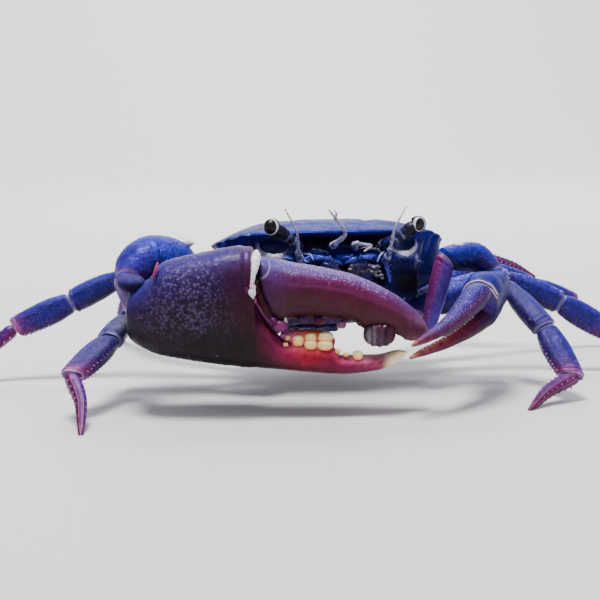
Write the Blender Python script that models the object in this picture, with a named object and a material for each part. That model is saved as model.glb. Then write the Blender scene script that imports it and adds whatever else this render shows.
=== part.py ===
"""A purple freshwater crab at life size, standing with its large right claw folded across its face.

Sizes are in millimetres until a mesh is made. The stance frame has its origin on the floor under the middle
of the carapace, +Z up, the crab facing -Y and its left side at +X. The body frame is the same, but level with
the crab, which pitches nose-up in the stance frame. At the end everything moves so that the origin is on the
floor under the middle of the whole animal.
"""
import math

import bmesh
import bpy
from mathutils import Vector

MM = 0.001
GAP = 0.3  # clearance between neighbouring pieces
UP = Vector((0, 0, 1))

BODY_PITCH = math.radians(8.0)
BODY_HEIGHT = 30.4  # floor to the side margin of the carapace
SHELL_CENTRE_Y = -1.0
DOME_HEIGHT = 4.6
SHELL_FLOOR = -12.6  # underside of the carapace, in the body frame

COLOURS = {
    "blue_shell": ((0.030, 0.038, 0.200, 1.0), 0.30),
    "violet_shell": ((0.075, 0.035, 0.190, 1.0), 0.30),
    "magenta_shell": ((0.170, 0.030, 0.110, 1.0), 0.35),
    "eye": ((0.015, 0.014, 0.022, 1.0), 0.08),
    "pale_skin": ((0.420, 0.380, 0.460, 1.0), 0.45),
}

# Half of the carapace's outline from the middle of the front to the middle of the back: x, y, and how far the
# edge to the next point bulges outwards. The width is 50 and the length 39.
OUTLINE = (
    (0.0, -19.1, 0.15),
    (5.0, -19.7, 0.15),
    (10.3, -18.9, -0.55),
    (17.2, -17.0, -0.25),
    (18.8, -15.0, 0.35),
    (21.0, -14.0, -0.20),
    (21.5, -12.2, 0.30),
    (23.3, -11.0, -0.20),
    (23.6, -9.3, 0.30),
    (25.0, -7.6, 0.30),
    (24.6, -1.0, 0.55),
    (20.2, 10.0, 0.45),
    (11.0, 19.0, 0.40),
    (6.5, 19.9, 0.10),
    (0.0, 20.1, 0.0),
)
MARGIN_HEIGHTS = (
    (-20.0, 1.2), (-16.0, 1.1), (-12.0, 0.4), (-8.0, -0.3), (0.0, -0.8), (10.0, -1.7), (20.0, -2.3),
)
# How the shell turns under from its margin: way in, and share of the way down to the floor of the shell.
SIDE_WALL = ((0.9, 0.05), (1.8, 0.17), (2.6, 0.36), (3.6, 0.56), (5.2, 0.76), (7.2, 0.92), (9.0, 1.0))
FACE_WALL = ((1.4, 0.06), (3.4, 0.15), (3.0, 0.28), (1.5, 0.36), (1.4, 0.43), (4.0, 0.53), (4.8, 1.0))
ORBIT_DEPTH = (0.2, 1.1, 0.9, 0.0, 0.0, 0.0, 0.0)  # how much deeper the face is in the orbits
ORBIT_X = 13.6
CHEEK_STEP = 2.2  # how far the cheeks stand in front of the mouth's frame
CHEEK_FULLNESS = 0.85  # how much less the wall turns under below the corner beside each orbit
CHEEK_CENTRE = (21.5, -11.5)
CHEEK_REACH = (3.0, 3.2)

# Each walking leg: where it leaves the body, its knee, the end of its carpus, the end of its propodus and its
# tip. Right is the crab's right, at -X. A leg whose tip is at height 0 stands on the floor.
LEGS = {
    "right_1": (
        (-17.0, -5.6, 15.4), (-43.4, -4.9, 15.4), (-47.2, -15.6, 13.2), (-55.0, -26.1, 8.6),
        (-53.9, -37.0, 0),
    ),
    "right_2": (
        (-18.0, 0.2, 15.0), (-43.0, 7.6, 22.6), (-54.0, 9.6, 17.2), (-66.4, 10.3, 11.8), (-77.5, 9.0, 0),
    ),
    "right_3": (
        (-17.0, 6.2, 14.2), (-34.0, 20.0, 22.0), (-38.0, 31.0, 18.0), (-40.0, 42.5, 12.5), (-40.5, 51.5, 0),
    ),
    "right_4": (
        (-13.2, 11.2, 13.4), (-22.5, 28.0, 22.0), (-25.0, 38.0, 18.5), (-26.0, 48.5, 13.5), (-25.5, 57.5, 0),
    ),
    "left_1": (
        (17.0, -5.6, 15.6), (38.6, -11.2, 20.6), (42.6, -22.6, 13.4), (45.0, -31.4, 4.9), (33.6, -37.2, 0),
    ),
    "left_2": (
        (18.0, 0.2, 15.0), (41.8, -2.7, 21.3), (53.7, -5.3, 15.8), (65.2, -7.7, 9.0), (74.6, -9.7, 0),
    ),
    "left_3": (
        (17.0, 6.2, 14.2), (42.5, 11.5, 21.6), (55.0, 15.0, 16.6), (68.0, 18.0, 11.8), (79.0, 20.0, 0),
    ),
    "left_4": (
        (13.2, 11.2, 13.4), (27.5, 24.5, 22.5), (36.5, 25.0, 22.5), (46.5, 21.0, 22.8), (58.4, 20.4, 18.2),
    ),
}
LEG_SCALE = {"1": 1.0, "2": 1.0, "3": 0.98, "4": 0.86}
FOOT_SUNK = 0.6  # how much of a standing leg's tip is cut off level with the floor

# Segments as half depth, half height, and the shape along them: (share of length, depth share, height share).
LEG_MERUS = (1.9, 3.0, (
    (0, 0.62, 0.50), (0.05, 0.75, 0.62), (0.35, 1, 0.95), (0.7, 1, 1), (0.96, 0.95, 0.85), (1, 0.8, 0.7),
))
LEG_CARPUS = (1.9, 2.6, ((0, 0.62, 0.6), (0.08, 0.8, 0.72), (0.5, 0.95, 0.95), (0.93, 1, 1), (1, 0.82, 0.82)))
LEG_PROPODUS = (1.65, 2.85, (
    (0, 0.66, 0.66), (0.06, 0.85, 0.82), (0.4, 1, 1), (0.93, 0.92, 0.84), (1, 0.75, 0.68),
))
LEG_DACTYLUS = (1.45, 1.5, (
    (0, 0.72, 0.72), (0.06, 1, 1), (0.4, 0.86, 0.86), (0.8, 0.55, 0.55), (1, 0.3, 0.3),
))
ARM_ISCHIUM = (2.6, 2.8, ((0, 0.7, 0.7), (0.15, 0.85, 0.85), (0.8, 1, 1), (1, 0.82, 0.82)))
ARM_MERUS_SHAPE = ((0, 0.66, 0.6), (0.06, 0.8, 0.75), (0.5, 1, 0.95), (0.93, 1, 1), (1, 0.8, 0.75))
ARM_MERUS = {"right": (2.9, 3.6, ARM_MERUS_SHAPE), "left": (2.7, 2.75, ARM_MERUS_SHAPE)}
LARGE_CARPUS = (6.4, 6.9, (
    (0, 0.36, 0.34), (0.06, 0.6, 0.62), (0.3, 0.95, 0.97), (0.5, 1, 1), (0.75, 0.84, 0.86), (0.93, 0.46, 0.5),
    (1, 0.32, 0.34),
))
SMALL_CARPUS = (3.4, 3.0, (
    (0, 0.6, 0.6), (0.08, 0.85, 0.88), (0.4, 1, 1), (0.75, 0.95, 0.95), (0.94, 0.72, 0.75), (1, 0.56, 0.6),
))

# Spines along the leg: share of the length, turn from the lower edge in degrees.
PROPODUS_SPINES = ((0.42, -22), (0.55, 25), (0.67, -22), (0.78, 25), (0.88, -25), (0.95, 28))
DACTYLUS_ROWS = 4
DACTYLUS_SPINES = 3  # in each row
DACTYLUS_START = 0.18  # share of the length at a row's first spine
DACTYLUS_STEP = 0.2
SPINE_LEAN = 0.5  # how far they lean towards the tip
SPINE_LENGTH = 0.65
SPINE_RADIUS = 0.32

# The large claw's pieces in its own plane: along, lower edge, upper edge, half thickness, shift to the front.
LARGE_ORIGIN = Vector((-46.0, -24.0, 20.7))
LARGE_ALONG = Vector((0.978, -0.208, 0.0))
LARGE_PALM = (
    (1.7, -2.4, 1.6, 2.4, -1.4),
    (2.3, -5.6, 3.4, 4.2, -0.8),
    (6.4, -8.0, 6.3, 5.8, -0.2),
    (8.0, -8.6, 8.6, 6.1, 0.0),
    (10.0, -9.0, 9.7, 6.3, 0.0),
    (15.8, -10.0, 11.0, 6.7, 0.0),
    (24.0, -11.0, 12.4, 6.4, 0.0),
    (25.9, -11.1, 12.1, 6.0, 0.0),
    (26.5, -11.1, 10.6, 5.6, 0.0),
    (26.8, -11.1, 4.6, 5.2, 0.0),
    (27.3, -11.2, 1.5, 4.9, 0.0),
    (29.4, -11.3, -2.6, 4.6, 0.0),
    (31.6, -11.5, -5.4, 4.4, 0.0),
    (41.0, -12.3, -6.6, 3.7, 0.0),
    (43.0, -12.4, -8.9, 3.3, 0.0),
    (50.0, -11.7, -8.7, 2.4, 0.0),
    (54.0, -9.9, -7.8, 1.3, 0.0),
    (55.4, -8.7, -8.0, 0.5, 0.0),
)
LARGE_DACTYLUS = (
    (27.1, 7.0, 9.4, 2.0, 0.0),
    (27.5, 4.2, 10.3, 3.4, 0.0),
    (28.1, 1.2, 10.3, 4.0, 0.0),
    (30.0, -2.4, 10.0, 4.4, 0.0),
    (31.6, -2.9, 9.7, 4.5, 0.0),
    (33.6, -1.5, 9.2, 4.6, 0.0),
    (38.0, -1.3, 8.5, 4.5, 0.0),
    (45.0, -2.1, 6.9, 4.0, 0.0),
    (47.6, -3.6, 5.9, 3.7, 0.0),
    (52.6, -4.3, 3.4, 3.0, -0.4),
    (56.0, -6.0, 1.0, 2.3, -0.9),
    (58.6, -6.3, -1.8, 1.5, -1.4),
    (60.0, -6.1, -4.4, 0.7, -1.8),
)
LARGE_NECK_ROOT = (5.5, 0.5)  # along, up: where the palm's neck ends inside it
LARGE_SHOULDER = (2.9, 5.2, 2.8, 3.0, 1.7)  # along, up, and half sizes along, deep and high
# Teeth of the large claw: along, crown height, half length, half height, half thickness, shift to the front.
LARGE_PALM_TEETH = (
    (33.4, -4.9, 0.80, 1.2, 1.1, 0.9),
    (35.8, -4.7, 1.25, 1.7, 1.9, 0.7),
    (38.5, -4.6, 1.35, 1.8, 2.2, 0.7),
    (41.0, -4.7, 1.45, 1.9, 2.3, 0.7),
    (43.9, -7.9, 0.70, 0.9, 0.9, 0.6),
    (46.9, -7.3, 1.10, 1.3, 1.3, 0.5),
    (50.8, -7.9, 0.60, 0.8, 0.7, 0.2),
)
LARGE_DACTYLUS_TEETH = (
    (35.4, -1.9, 0.90, 1.0, 1.2, 0.0),
    (38.6, -2.3, 1.10, 1.1, 1.4, 0.0),
    (43.0, -2.7, 1.00, 1.1, 1.3, 0.0),
    (47.6, -6.2, 0.95, 2.0, 1.4, 0.0),
    (49.2, -6.9, 0.95, 2.2, 1.5, 0.0),
    (50.8, -6.9, 0.95, 2.0, 1.4, 0.0),
    (52.4, -6.6, 0.90, 1.6, 1.2, 0.2),
)

# The small claw's palm and fixed finger follow one bent path from the wrist. Share along, lower edge, upper
# edge, half thickness, shift.
SMALL_PALM_PATH = (
    (33.0, -16.8, 24.9), (31.9, -18.8, 23.2), (29.2, -22.4, 21.4), (25.4, -28.4, 19.6), (16.8, -35.6, 14.9),
    (7.6, -40.8, 12.5),
)
SMALL_PALM = (
    (0.0, -1.9, 1.9, 1.8, 0.0),
    (0.03, -2.3, 2.3, 2.2, 0.0),
    (0.08, -4.4, 4.0, 3.3, 0.0),
    (0.17, -5.6, 5.5, 4.0, 0.0),
    (0.28, -5.8, 6.0, 4.2, 0.0),
    (0.335, -5.6, 5.6, 3.9, 0.0),
    (0.35, -5.4, 4.6, 3.7, 0.0),
    (0.362, -5.2, 0.6, 3.4, 0.0),
    (0.40, -4.9, -0.8, 3.0, 0.0),
    (0.50, -4.0, -0.5, 2.4, 0.0),
    (0.70, -1.9, 0.6, 1.5, 0.0),
    (0.90, -0.9, 0.6, 0.9, 0.0),
    (1.0, -0.4, 0.35, 0.4, 0.0),
)
SMALL_DACTYLUS_PATH = ((26.0, -29.6, 23.4), (24.3, -31.0, 22.4), (16.4, -36.8, 17.8), (7.9, -41.0, 14.9))
SMALL_DACTYLUS = (
    (0.0, -0.8, 1.2, 1.6, 0.0),
    (0.05, -2.0, 2.1, 2.3, 0.0),
    (0.13, -2.4, 2.6, 2.5, 0.0),
    (0.40, -1.8, 2.0, 2.0, 0.0),
    (0.70, -1.2, 1.2, 1.4, 0.0),
    (0.92, -0.7, 0.6, 0.8, 0.0),
    (1.0, -0.35, 0.3, 0.4, 0.0),
)
SMALL_TEETH = 8
SMALL_TOOTH = (0.75, 0.55, 0.6)  # half length, half height, half thickness
SMALL_TEETH_START = 0.50
SMALL_TEETH_STEP = 0.055

# Each arm: where it leaves the body, the end of its ischium, its elbow and its wrist, and a point that its
# carpus bends through.
ARMS = {
    "right": ((-11.5, -11.2, 16.2), (-17.2, -15.6, 15.3), (-29.4, -11.4, 23.4), (-43.6, -15.4, 24.8)),
    "left": ((11.5, -11.0, 16.5), (18.8, -17.4, 14.2), (22.2, -17.3, 27.9), (33.0, -16.8, 24.9)),
}
CARPUS_BENDS = {"right": (-37.2, -9.6, 26.6), "left": (28.4, -15.8, 28.3)}
ARM_SCALE = {"right": 1.15, "left": 0.75}
CARPUS_SPINE = (0.3, 80, 2.0, 1.3)  # share along, angle, length, radius

# The breast plates as ellipses, in the body frame: height, half length, half width.
THORAX_PLATES = ((-12.95, 13.0, 13.4), (-14.4, 14.2, 14.6), (-16.8, 13.4, 13.0), (-17.6, 12.0, 10.5))
THORAX_CENTRE_Y = 1.0
COXA = (2.3, 2.1, ((0, 1, 1), (0.85, 1, 1), (1, 0.82, 0.82)))

# The tail flap's line in the body frame, and for each of its plates: share at its end, half width, thickness.
ABDOMEN_PATH = ((20.6, -4.2), (21.3, -9.0), (19.4, -14.6), (14.0, -18.9), (3.0, -19.0), (-8.0, -18.8))
ABDOMEN_PLATES = (
    (0.10, 8.6, 1.6), (0.22, 9.0, 1.7), (0.36, 9.2, 1.7), (0.47, 8.0, 1.6), (0.60, 5.6, 1.5),
    (0.84, 3.3, 1.4), (1.0, 1.4, 1.2),
)
PLATE_STEP = 0.25  # how far each plate stands over the next

MAXILLIPED_PATH = ((3.3, -15.4, -15.6), (3.4, -16.9, -10.5), (3.5, -17.6, -6.4))
MAXILLIPED = (3.0, 1.2, (
    (0, 0.76, 0.7), (0.08, 0.93, 0.85), (0.5, 1, 1), (0.6, 0.9, 0.85), (0.9, 0.9, 0.9), (1, 0.66, 0.6),
))

EYE_ROOT = (8.9, -17.2, -2.0)
EYE_BEND = (10.6, -19.7, -0.5)
EYE_CENTRE = (15.0, -21.0, 2.4)
EYE_RADII = (1.45, 1.74, 1.8)
EYESTALK = (1.5, 1.5, ((0, 0.6, 0.6), (0.1, 0.8, 0.8), (0.55, 0.73, 0.73), (0.9, 1, 1), (1, 0.9, 0.9)))

FEELERS = {
    "antenna_right": ((-8.6, -19.2, 28.0), (-10.0, -21.6, 30.4), (-10.4, -22.8, 34.0), (-13.1, -23.4, 39.6)),
    "antenna_left": ((8.6, -19.2, 28.0), (8.9, -21.6, 30.4), (9.2, -22.8, 34.0), (11.8, -23.4, 39.8)),
    "antennule_right": ((-2.4, -17.6, 31.2), (-2.3, -21.0, 32.2), (-0.6, -22.4, 34.2), (-4.2, -23.2, 39.2)),
    "antennule_left": ((2.4, -17.6, 31.2), (2.5, -20.6, 32.0), (5.0, -21.6, 31.6), (3.4, -22.0, 30.6)),
}
ANTENNA = (1.0, 1.0, ((0, 1, 1), (0.2, 0.85, 0.85), (0.42, 0.4, 0.4), (0.7, 0.27, 0.27), (1, 0.15, 0.15)))
ANTENNULE = (0.9, 0.9, ((0, 1, 1), (0.25, 0.7, 0.7), (0.5, 0.48, 0.48), (0.85, 0.33, 0.33), (1, 0.2, 0.2)))


def body(x, y, z):
    """A place given in the body frame, in the stance frame."""
    cosine = math.cos(BODY_PITCH)
    sine = math.sin(BODY_PITCH)
    return Vector((x, y * cosine + z * sine, BODY_HEIGHT + z * cosine - y * sine))


def profile(points, at):
    """A smooth curve through (place, value) pairs that doesn't overshoot them."""
    if at <= points[0][0]:
        return points[0][1]
    if at >= points[-1][0]:
        return points[-1][1]
    slopes = [(b[1] - a[1]) / (b[0] - a[0]) for a, b in zip(points, points[1:])]
    tangents = [slopes[0]]
    for before, after in zip(slopes, slopes[1:]):
        tangents.append(2 * before * after / (before + after) if before * after > 0 else 0.0)
    tangents.append(slopes[-1])
    index = next(i for i in range(len(slopes)) if at <= points[i + 1][0])
    width = points[index + 1][0] - points[index][0]
    t = (at - points[index][0]) / width
    return (
        points[index][1] * (1 + 2 * t) * (1 - t) ** 2
        + points[index + 1][1] * t * t * (3 - 2 * t)
        + width * (tangents[index] * t * (1 - t) ** 2 - tangents[index + 1] * t * t * (1 - t))
    )


def ramp(value, low, high):
    """0 below low, 1 above high, and smooth between them."""
    t = min(1.0, max(0.0, (value - low) / (high - low)))
    return t * t * (3 - 2 * t)


def hill(x, y, at_x, at_y, radius_x, radius_y):
    """A smooth hill of height 1."""
    return math.exp(-(((x - at_x) / radius_x) ** 2) - ((y - at_y) / radius_y) ** 2)


def link(name, points, faces, origin=None):
    """A new object from points in millimetres, with its faces turned outwards."""
    origin = origin or sum(points, Vector()) / len(points)
    mesh = bpy.data.meshes.new(name)
    mesh.from_pydata([tuple((point - origin) * MM) for point in points], [], faces)
    made = bpy.data.objects.new(name, mesh)
    made.location = origin * MM
    bpy.context.scene.collection.objects.link(made)
    turn_outwards(mesh)
    return made


def turn_outwards(mesh):
    work = bmesh.new()
    work.from_mesh(mesh)
    bmesh.ops.recalc_face_normals(work, faces=work.faces)
    work.to_mesh(mesh)
    work.free()
    mesh.shade_smooth()
    mesh.set_sharp_from_angle(angle=math.radians(50))


def solid(name, rings, slot, origin=None):
    """A closed mesh through rings of equally many points, with a flat cap at each end."""
    sides = len(rings[0])
    faces = [tuple(reversed(range(sides))), tuple(range((len(rings) - 1) * sides, len(rings) * sides))]
    for i in range(len(rings) - 1):
        for j in range(sides):
            k = (j + 1) % sides
            faces.append((i * sides + j, i * sides + k, (i + 1) * sides + k, (i + 1) * sides + j))
    made = link(name, [point for ring in rings for point in ring], faces, origin)
    made.data.materials.append(bpy.data.materials[slot])
    return made


class Tube:
    """A tapered piece along a smooth path, with a squarish section and a cut plane at each end."""

    def __init__(self, path, up, sections, cuts=(None, None), squareness=2.3, crest=0.0):
        self.path = [Vector(place) for place in path]
        self.up = Vector(up)
        self.sections = sections
        self.cuts = cuts
        self.squareness = squareness
        self.crest = crest
        self.lengths = [0.0]
        for a, b in zip(self.path, self.path[1:]):
            self.lengths.append(self.lengths[-1] + (b - a).length)
        self.first = sections[0][0]
        self.span = sections[-1][0] - self.first
        self.ends = (self.axes(0)[0], self.axes(1)[0])

    def centre(self, t):
        """The path's point at share t of its length."""
        at = t * self.lengths[-1]
        return Vector([profile([(s, p[k]) for s, p in zip(self.lengths, self.path)], at) for k in range(3)])

    def axes(self, t):
        """The way along, the depth and the height direction at t."""
        step = 0.01
        along = (self.centre(min(1, t + step)) - self.centre(max(0, t - step))).normalized()
        depth = along.cross(self.up).normalized()
        return along, depth, depth.cross(along)

    def size(self, t, column):
        return profile([(s[0], s[column]) for s in self.sections], self.first + t * self.span)

    def point(self, t, angle):
        along, depth, height = self.axes(t)
        cosine, sine = math.cos(angle), math.sin(angle)
        power = 2 / self.squareness
        low, high = self.size(t, 1), self.size(t, 2)
        across = math.copysign(abs(cosine) ** power, cosine) * self.size(t, 3) + self.size(t, 4)
        lift = (low + high) / 2 + (high - low) / 2 * math.copysign(abs(sine) ** power, sine)
        lift += self.crest * max(0.0, sine) ** 8 * math.sin(math.pi * t)
        offset = depth * across + height * lift
        shear = 0.0
        for end, cut, share in ((0, self.cuts[0], (1 - t) ** 4), (1, self.cuts[1], t**4)):
            if cut is not None:
                shear -= share * offset.dot(cut) / self.ends[end].dot(cut)
        return self.centre(t) + offset + along * shear

    def outward(self, t, angle):
        """The way out of the surface at t, square to the path."""
        middle = sum((self.point(t, math.radians(a)) for a in (0, 90, 180, 270)), Vector()) / 4
        out = self.point(t, angle) - middle
        along = self.axes(t)[0]
        return (out - along * out.dot(along)).normalized()

    def build(self, name, slot, steps, sides):
        """The closed mesh, with its origin at the path's start, and rings at the sections and even steps."""
        places = {(s[0] - self.first) / self.span for s in self.sections}
        for i in range(steps + 1):
            if min(abs(i / steps - place) for place in places) > 0.4 / steps:
                places.add(i / steps)
        turns = [2 * math.pi * (j + 0.5) / sides for j in range(sides)]
        rings = [[self.point(t, turn) for turn in turns] for t in sorted(places)]
        return solid(name, rings, slot, self.centre(0))


def taper(half_deep, half_high, shape, scale=1.0):
    """Sections of a piece that is alike on both sides of its line."""
    return [
        (t, -high * half_high * scale, high * half_high * scale, deep * half_deep * scale, 0.0)
        for t, deep, high in shape
    ]


def spine(at, way, length, radius, sides=4):
    """A small cone rooted inside the surface that it stands on."""
    way = way.normalized()
    side = way.cross(Vector((0.31, 0.17, 0.93))).normalized()
    other = way.cross(side)
    root = at - way * radius * 1.2
    turns = [2 * math.pi * j / sides for j in range(sides)]
    base = [root + (side * math.cos(turn) + other * math.sin(turn)) * radius for turn in turns]
    faces = [(j, (j + 1) % sides, sides) for j in range(sides)] + [tuple(reversed(range(sides)))]
    return link("spine", [*base, at + way * length], faces)


def ball(name, centre, axes, radii, segments=10, rings=6):
    """An ellipsoid with its own three directions."""
    work = bmesh.new()
    bmesh.ops.create_uvsphere(work, u_segments=segments, v_segments=rings, radius=1.0)
    points = [centre + sum((axes[k] * (v.co[k] * radii[k]) for k in range(3)), Vector()) for v in work.verts]
    faces = [tuple(v.index for v in face.verts) for face in work.faces]
    work.free()
    return link(name, points, faces)


def fuse(base, pieces):
    """Joins the pieces to base by one Boolean union, and keeps the largest closed surface."""
    group = bpy.data.collections.new("joined")
    bpy.context.scene.collection.children.link(group)
    for piece in pieces:
        bpy.context.scene.collection.objects.unlink(piece)
        group.objects.link(piece)
    union = base.modifiers.new("union", "BOOLEAN")
    union.operation = "UNION"
    union.operand_type = "COLLECTION"
    union.collection = group
    union.solver = "EXACT"
    bpy.context.view_layer.update()
    joined = bpy.data.meshes.new_from_object(base.evaluated_get(bpy.context.evaluated_depsgraph_get()))
    base.modifiers.clear()
    base.data = joined
    for piece in pieces:
        bpy.data.objects.remove(piece)
    bpy.data.collections.remove(group)
    keep_largest(joined)


def keep_largest(mesh):
    work = bmesh.new()
    work.from_mesh(mesh)
    left = set(work.faces)
    islands = []
    while left:
        queue = [left.pop()]
        island = []
        while queue:
            face = queue.pop()
            island.append(face)
            for other in {other for edge in face.edges for other in edge.link_faces}:
                if other in left:
                    left.remove(other)
                    queue.append(other)
        islands.append(island)
    islands.sort(key=len)
    bmesh.ops.delete(work, geom=[face for island in islands[:-1] for face in island], context="FACES")
    work.to_mesh(mesh)
    work.free()


def cut_off(made, at, way):
    """Cuts away what lies beyond a plane, and closes the cut with a flat face."""
    work = bmesh.new()
    work.from_mesh(made.data)
    cut = bmesh.ops.bisect_plane(
        work,
        geom=[*work.verts, *work.edges, *work.faces],
        dist=1e-7,
        plane_co=at * MM - made.location,
        plane_no=way,
        clear_outer=True,
    )
    rim = [edge for edge in cut["geom_cut"] if isinstance(edge, bmesh.types.BMEdge)]
    bmesh.ops.contextual_create(work, geom=rim)
    bmesh.ops.recalc_face_normals(work, faces=work.faces)
    work.to_mesh(made.data)
    work.free()


def outline(steps_per_mm):
    """The carapace's margin all the way round, in the body frame, from the middle of the back."""
    half = []
    for (x0, y0, bulge), (x1, y1, _) in zip(OUTLINE, OUTLINE[1:]):
        length = math.hypot(x1 - x0, y1 - y0)
        steps = max(2, round(length * steps_per_mm))
        for i in range(steps):
            t = i / steps
            sag = 4 * t * (1 - t) * bulge / length
            half.append((x0 + (x1 - x0) * t - (y0 - y1) * sag, y0 + (y1 - y0) * t - (x1 - x0) * sag))
    half.append(OUTLINE[-1][:2])
    return [(-x, y) for x, y in reversed(half)] + half[1:-1]


def softened(margin):
    """The same outline with its teeth and notches smoothed away, for the dome inside it."""
    count = len(margin)
    reach = max(2, count // 22)
    weights = {k: math.exp(-((k / (0.55 * reach)) ** 2)) for k in range(-reach, reach + 1)}
    total = sum(weights.values())
    return [
        tuple(sum(w * margin[(i + k) % count][axis] for k, w in weights.items()) / total for axis in (0, 1))
        for i in range(count)
    ]


def relief(x, y):
    """Swellings and grooves of the regions on the back."""
    side = abs(x)
    lift = 0.75 * hill(side, y, 15.0, 1.5, 7.5, 9.0)
    lift += 0.30 * hill(side, y, 3.6, -14.6, 2.6, 1.7)
    lift += 0.38 * hill(side, y, 11.0, -13.6, 5.0, 1.2)
    lift += 0.25 * hill(x, y, 0.0, 9.0, 4.5, 4.0)
    groove_x = 6.3 + 2.4 * math.cos((y + 3.0) / 4.6)
    along_groove = ramp(y, -12.0, -8.0) * (1 - ramp(y, 2.5, 6.0))
    lift -= 0.55 * math.exp(-(((side - groove_x) / 1.1) ** 2)) * along_groove
    lift -= 0.40 * hill(x, y, 0.0, 3.6, 5.0, 0.9)
    return lift


def wall_ring(margin, soft, step):
    """One ring of the shell's wall below the margin."""
    count = len(SIDE_WALL)
    share = (step + 1) / count
    ring = []
    for (x, y), (soft_x, soft_y) in zip(margin, soft):
        facing = (1 - ramp(abs(x), 16.8, 20.5)) * (1 - ramp(y, -14.5, -9.0))
        face_in, face_down = FACE_WALL[step]
        face_in += ORBIT_DEPTH[step] * hill(abs(x), 0, ORBIT_X, 0, 3.4, 1)
        face_in -= CHEEK_STEP * ramp(share, 0.72, 0.86) * ramp(abs(x), 8.3, 9.3)
        side_in, side_down = SIDE_WALL[step]
        way_in = side_in + (face_in - side_in) * facing
        fullness = CHEEK_FULLNESS * hill(abs(x), y, *CHEEK_CENTRE, *CHEEK_REACH)
        way_in *= 1 - fullness * (1 - ramp(share, 0.6, 0.9))
        down = side_down + (face_down - side_down) * facing
        turn = Vector((soft_x, soft_y - SHELL_CENTRE_Y)).normalized() * (1 - facing)
        turn.y -= facing
        turn.normalize()
        edge = ramp(share, 0.0, 0.45)
        margin_height = profile(MARGIN_HEIGHTS, y)
        height = margin_height - down * (margin_height - SHELL_FLOOR)
        place_x = x + (soft_x - x) * edge - turn.x * way_in
        place_y = y + (soft_y - y) * edge - turn.y * way_in
        ring.append(body(place_x, place_y, height))
    return ring


def dome_ring(margin, soft, rho):
    """One ring of the back, at share rho of the way from its middle to the margin."""
    ring = []
    for (x, y), (soft_x, soft_y) in zip(margin, soft):
        edge = rho**7
        place_x = (soft_x + (x - soft_x) * edge) * rho
        place_y = SHELL_CENTRE_Y + (soft_y + (y - soft_y) * edge - SHELL_CENTRE_Y) * rho
        dome = DOME_HEIGHT * (1 - rho**2.4) ** 0.85 + profile(MARGIN_HEIGHTS, y) * rho**2
        ring.append(body(place_x, place_y, dome + relief(place_x, place_y) * (1 - rho**6)))
    return ring


def make_carapace():
    dome_steps = 8
    margin = outline(steps_per_mm=0.52)
    soft = softened(margin)
    rings = [wall_ring(margin, soft, step) for step in reversed(range(len(SIDE_WALL)))]
    rings += [dome_ring(margin, soft, math.cos(math.pi / 2 * i / dome_steps)) for i in range(dome_steps)]
    solid("carapace", rings, "blue_shell")


def mitred(start, end, before, after, kind, scale, up, squareness, crest=0.0, bow=0.0):
    """A limb's segment from joint to joint, cut to meet the ways that its neighbours run."""
    along = (end - start).normalized()
    cuts = [(along + other).normalized() if other else along for other in (before, after)]
    start = start + along * GAP / 2 / along.dot(cuts[0])
    end = end - along * (GAP / 2 / along.dot(cuts[1]) if after else 0.0)
    depth = along.cross(up).normalized()
    middle = (start + end) / 2 + depth.cross(along) * bow
    line = [start, middle, end] if bow else [start, end]
    return Tube(line, up, taper(*kind, scale), cuts, squareness, crest)


def leg_tubes(joints, scale):
    """The four segments of a walking leg, from the body out."""
    hip, knee, ankle, heel, tip = joints
    ways = [(b - a).normalized() for a, b in zip(joints, joints[1:])]
    plane = (knee - hip).cross(tip - knee).normalized()
    ups = [plane.cross(way) for way in ways]
    ups = [up if up.z > 0 else -up for up in ups]
    return (
        mitred(hip, knee, ways[0], ways[1], LEG_MERUS, scale, UP, 2.2, 0.5),
        mitred(knee, ankle, ways[0], ways[2], LEG_CARPUS, scale, ups[1], 2.4, 0.3),
        mitred(ankle, heel, ways[1], ways[3], LEG_PROPODUS, scale, ups[2], 2.6),
        mitred(heel, tip, ways[2], None, LEG_DACTYLUS, scale, ups[3], 2.6, bow=0.9),
    )


def make_leg(name, joints):
    joints = [Vector(joint) for joint in joints]
    standing = joints[-1].z == 0
    if standing:
        joints[-1] += (joints[-1] - joints[-2]).normalized() * FOOT_SUNK
    merus, carpus, propodus, dactylus = leg_tubes(joints, LEG_SCALE[name[-1]])
    merus.build(f"leg_{name}_merus", "blue_shell", 5, 12)
    carpus.build(f"leg_{name}_carpus", "blue_shell", 4, 12)
    hand = propodus.build(f"leg_{name}_propodus", "blue_shell", 5, 12)
    foot = dactylus.build(f"leg_{name}_dactylus", "violet_shell", 5, 8)
    spines = []
    for t, turn in PROPODUS_SPINES:
        angle = math.radians(270 + turn)
        way = propodus.outward(t, angle)
        spines.append(spine(propodus.point(t, angle), way, SPINE_LENGTH, SPINE_RADIUS))
    fuse(hand, spines)
    spines = []
    for row in range(DACTYLUS_ROWS):
        angle = math.radians(45 + 90 * row)
        for i in range(DACTYLUS_SPINES):
            t = DACTYLUS_START + DACTYLUS_STEP * (i + 0.25 * (row % 2))
            way = dactylus.outward(t, angle) + dactylus.axes(t)[0] * SPINE_LEAN
            spines.append(spine(dactylus.point(t, angle), way, SPINE_LENGTH * (1 - 0.12 * i), SPINE_RADIUS))
    fuse(foot, spines)
    if standing:
        cut_off(foot, Vector(), -UP)


def teeth(along, up, places, segments=8, rings=5):
    """Rounded teeth on a finger's biting edge, each as (centre, half length, half height, half thickness)."""
    depth = along.cross(up).normalized()
    return [
        ball("tooth", centre, (along, depth, up), (half, thick, high), segments, rings)
        for centre, half, high, thick in places
    ]


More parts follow.
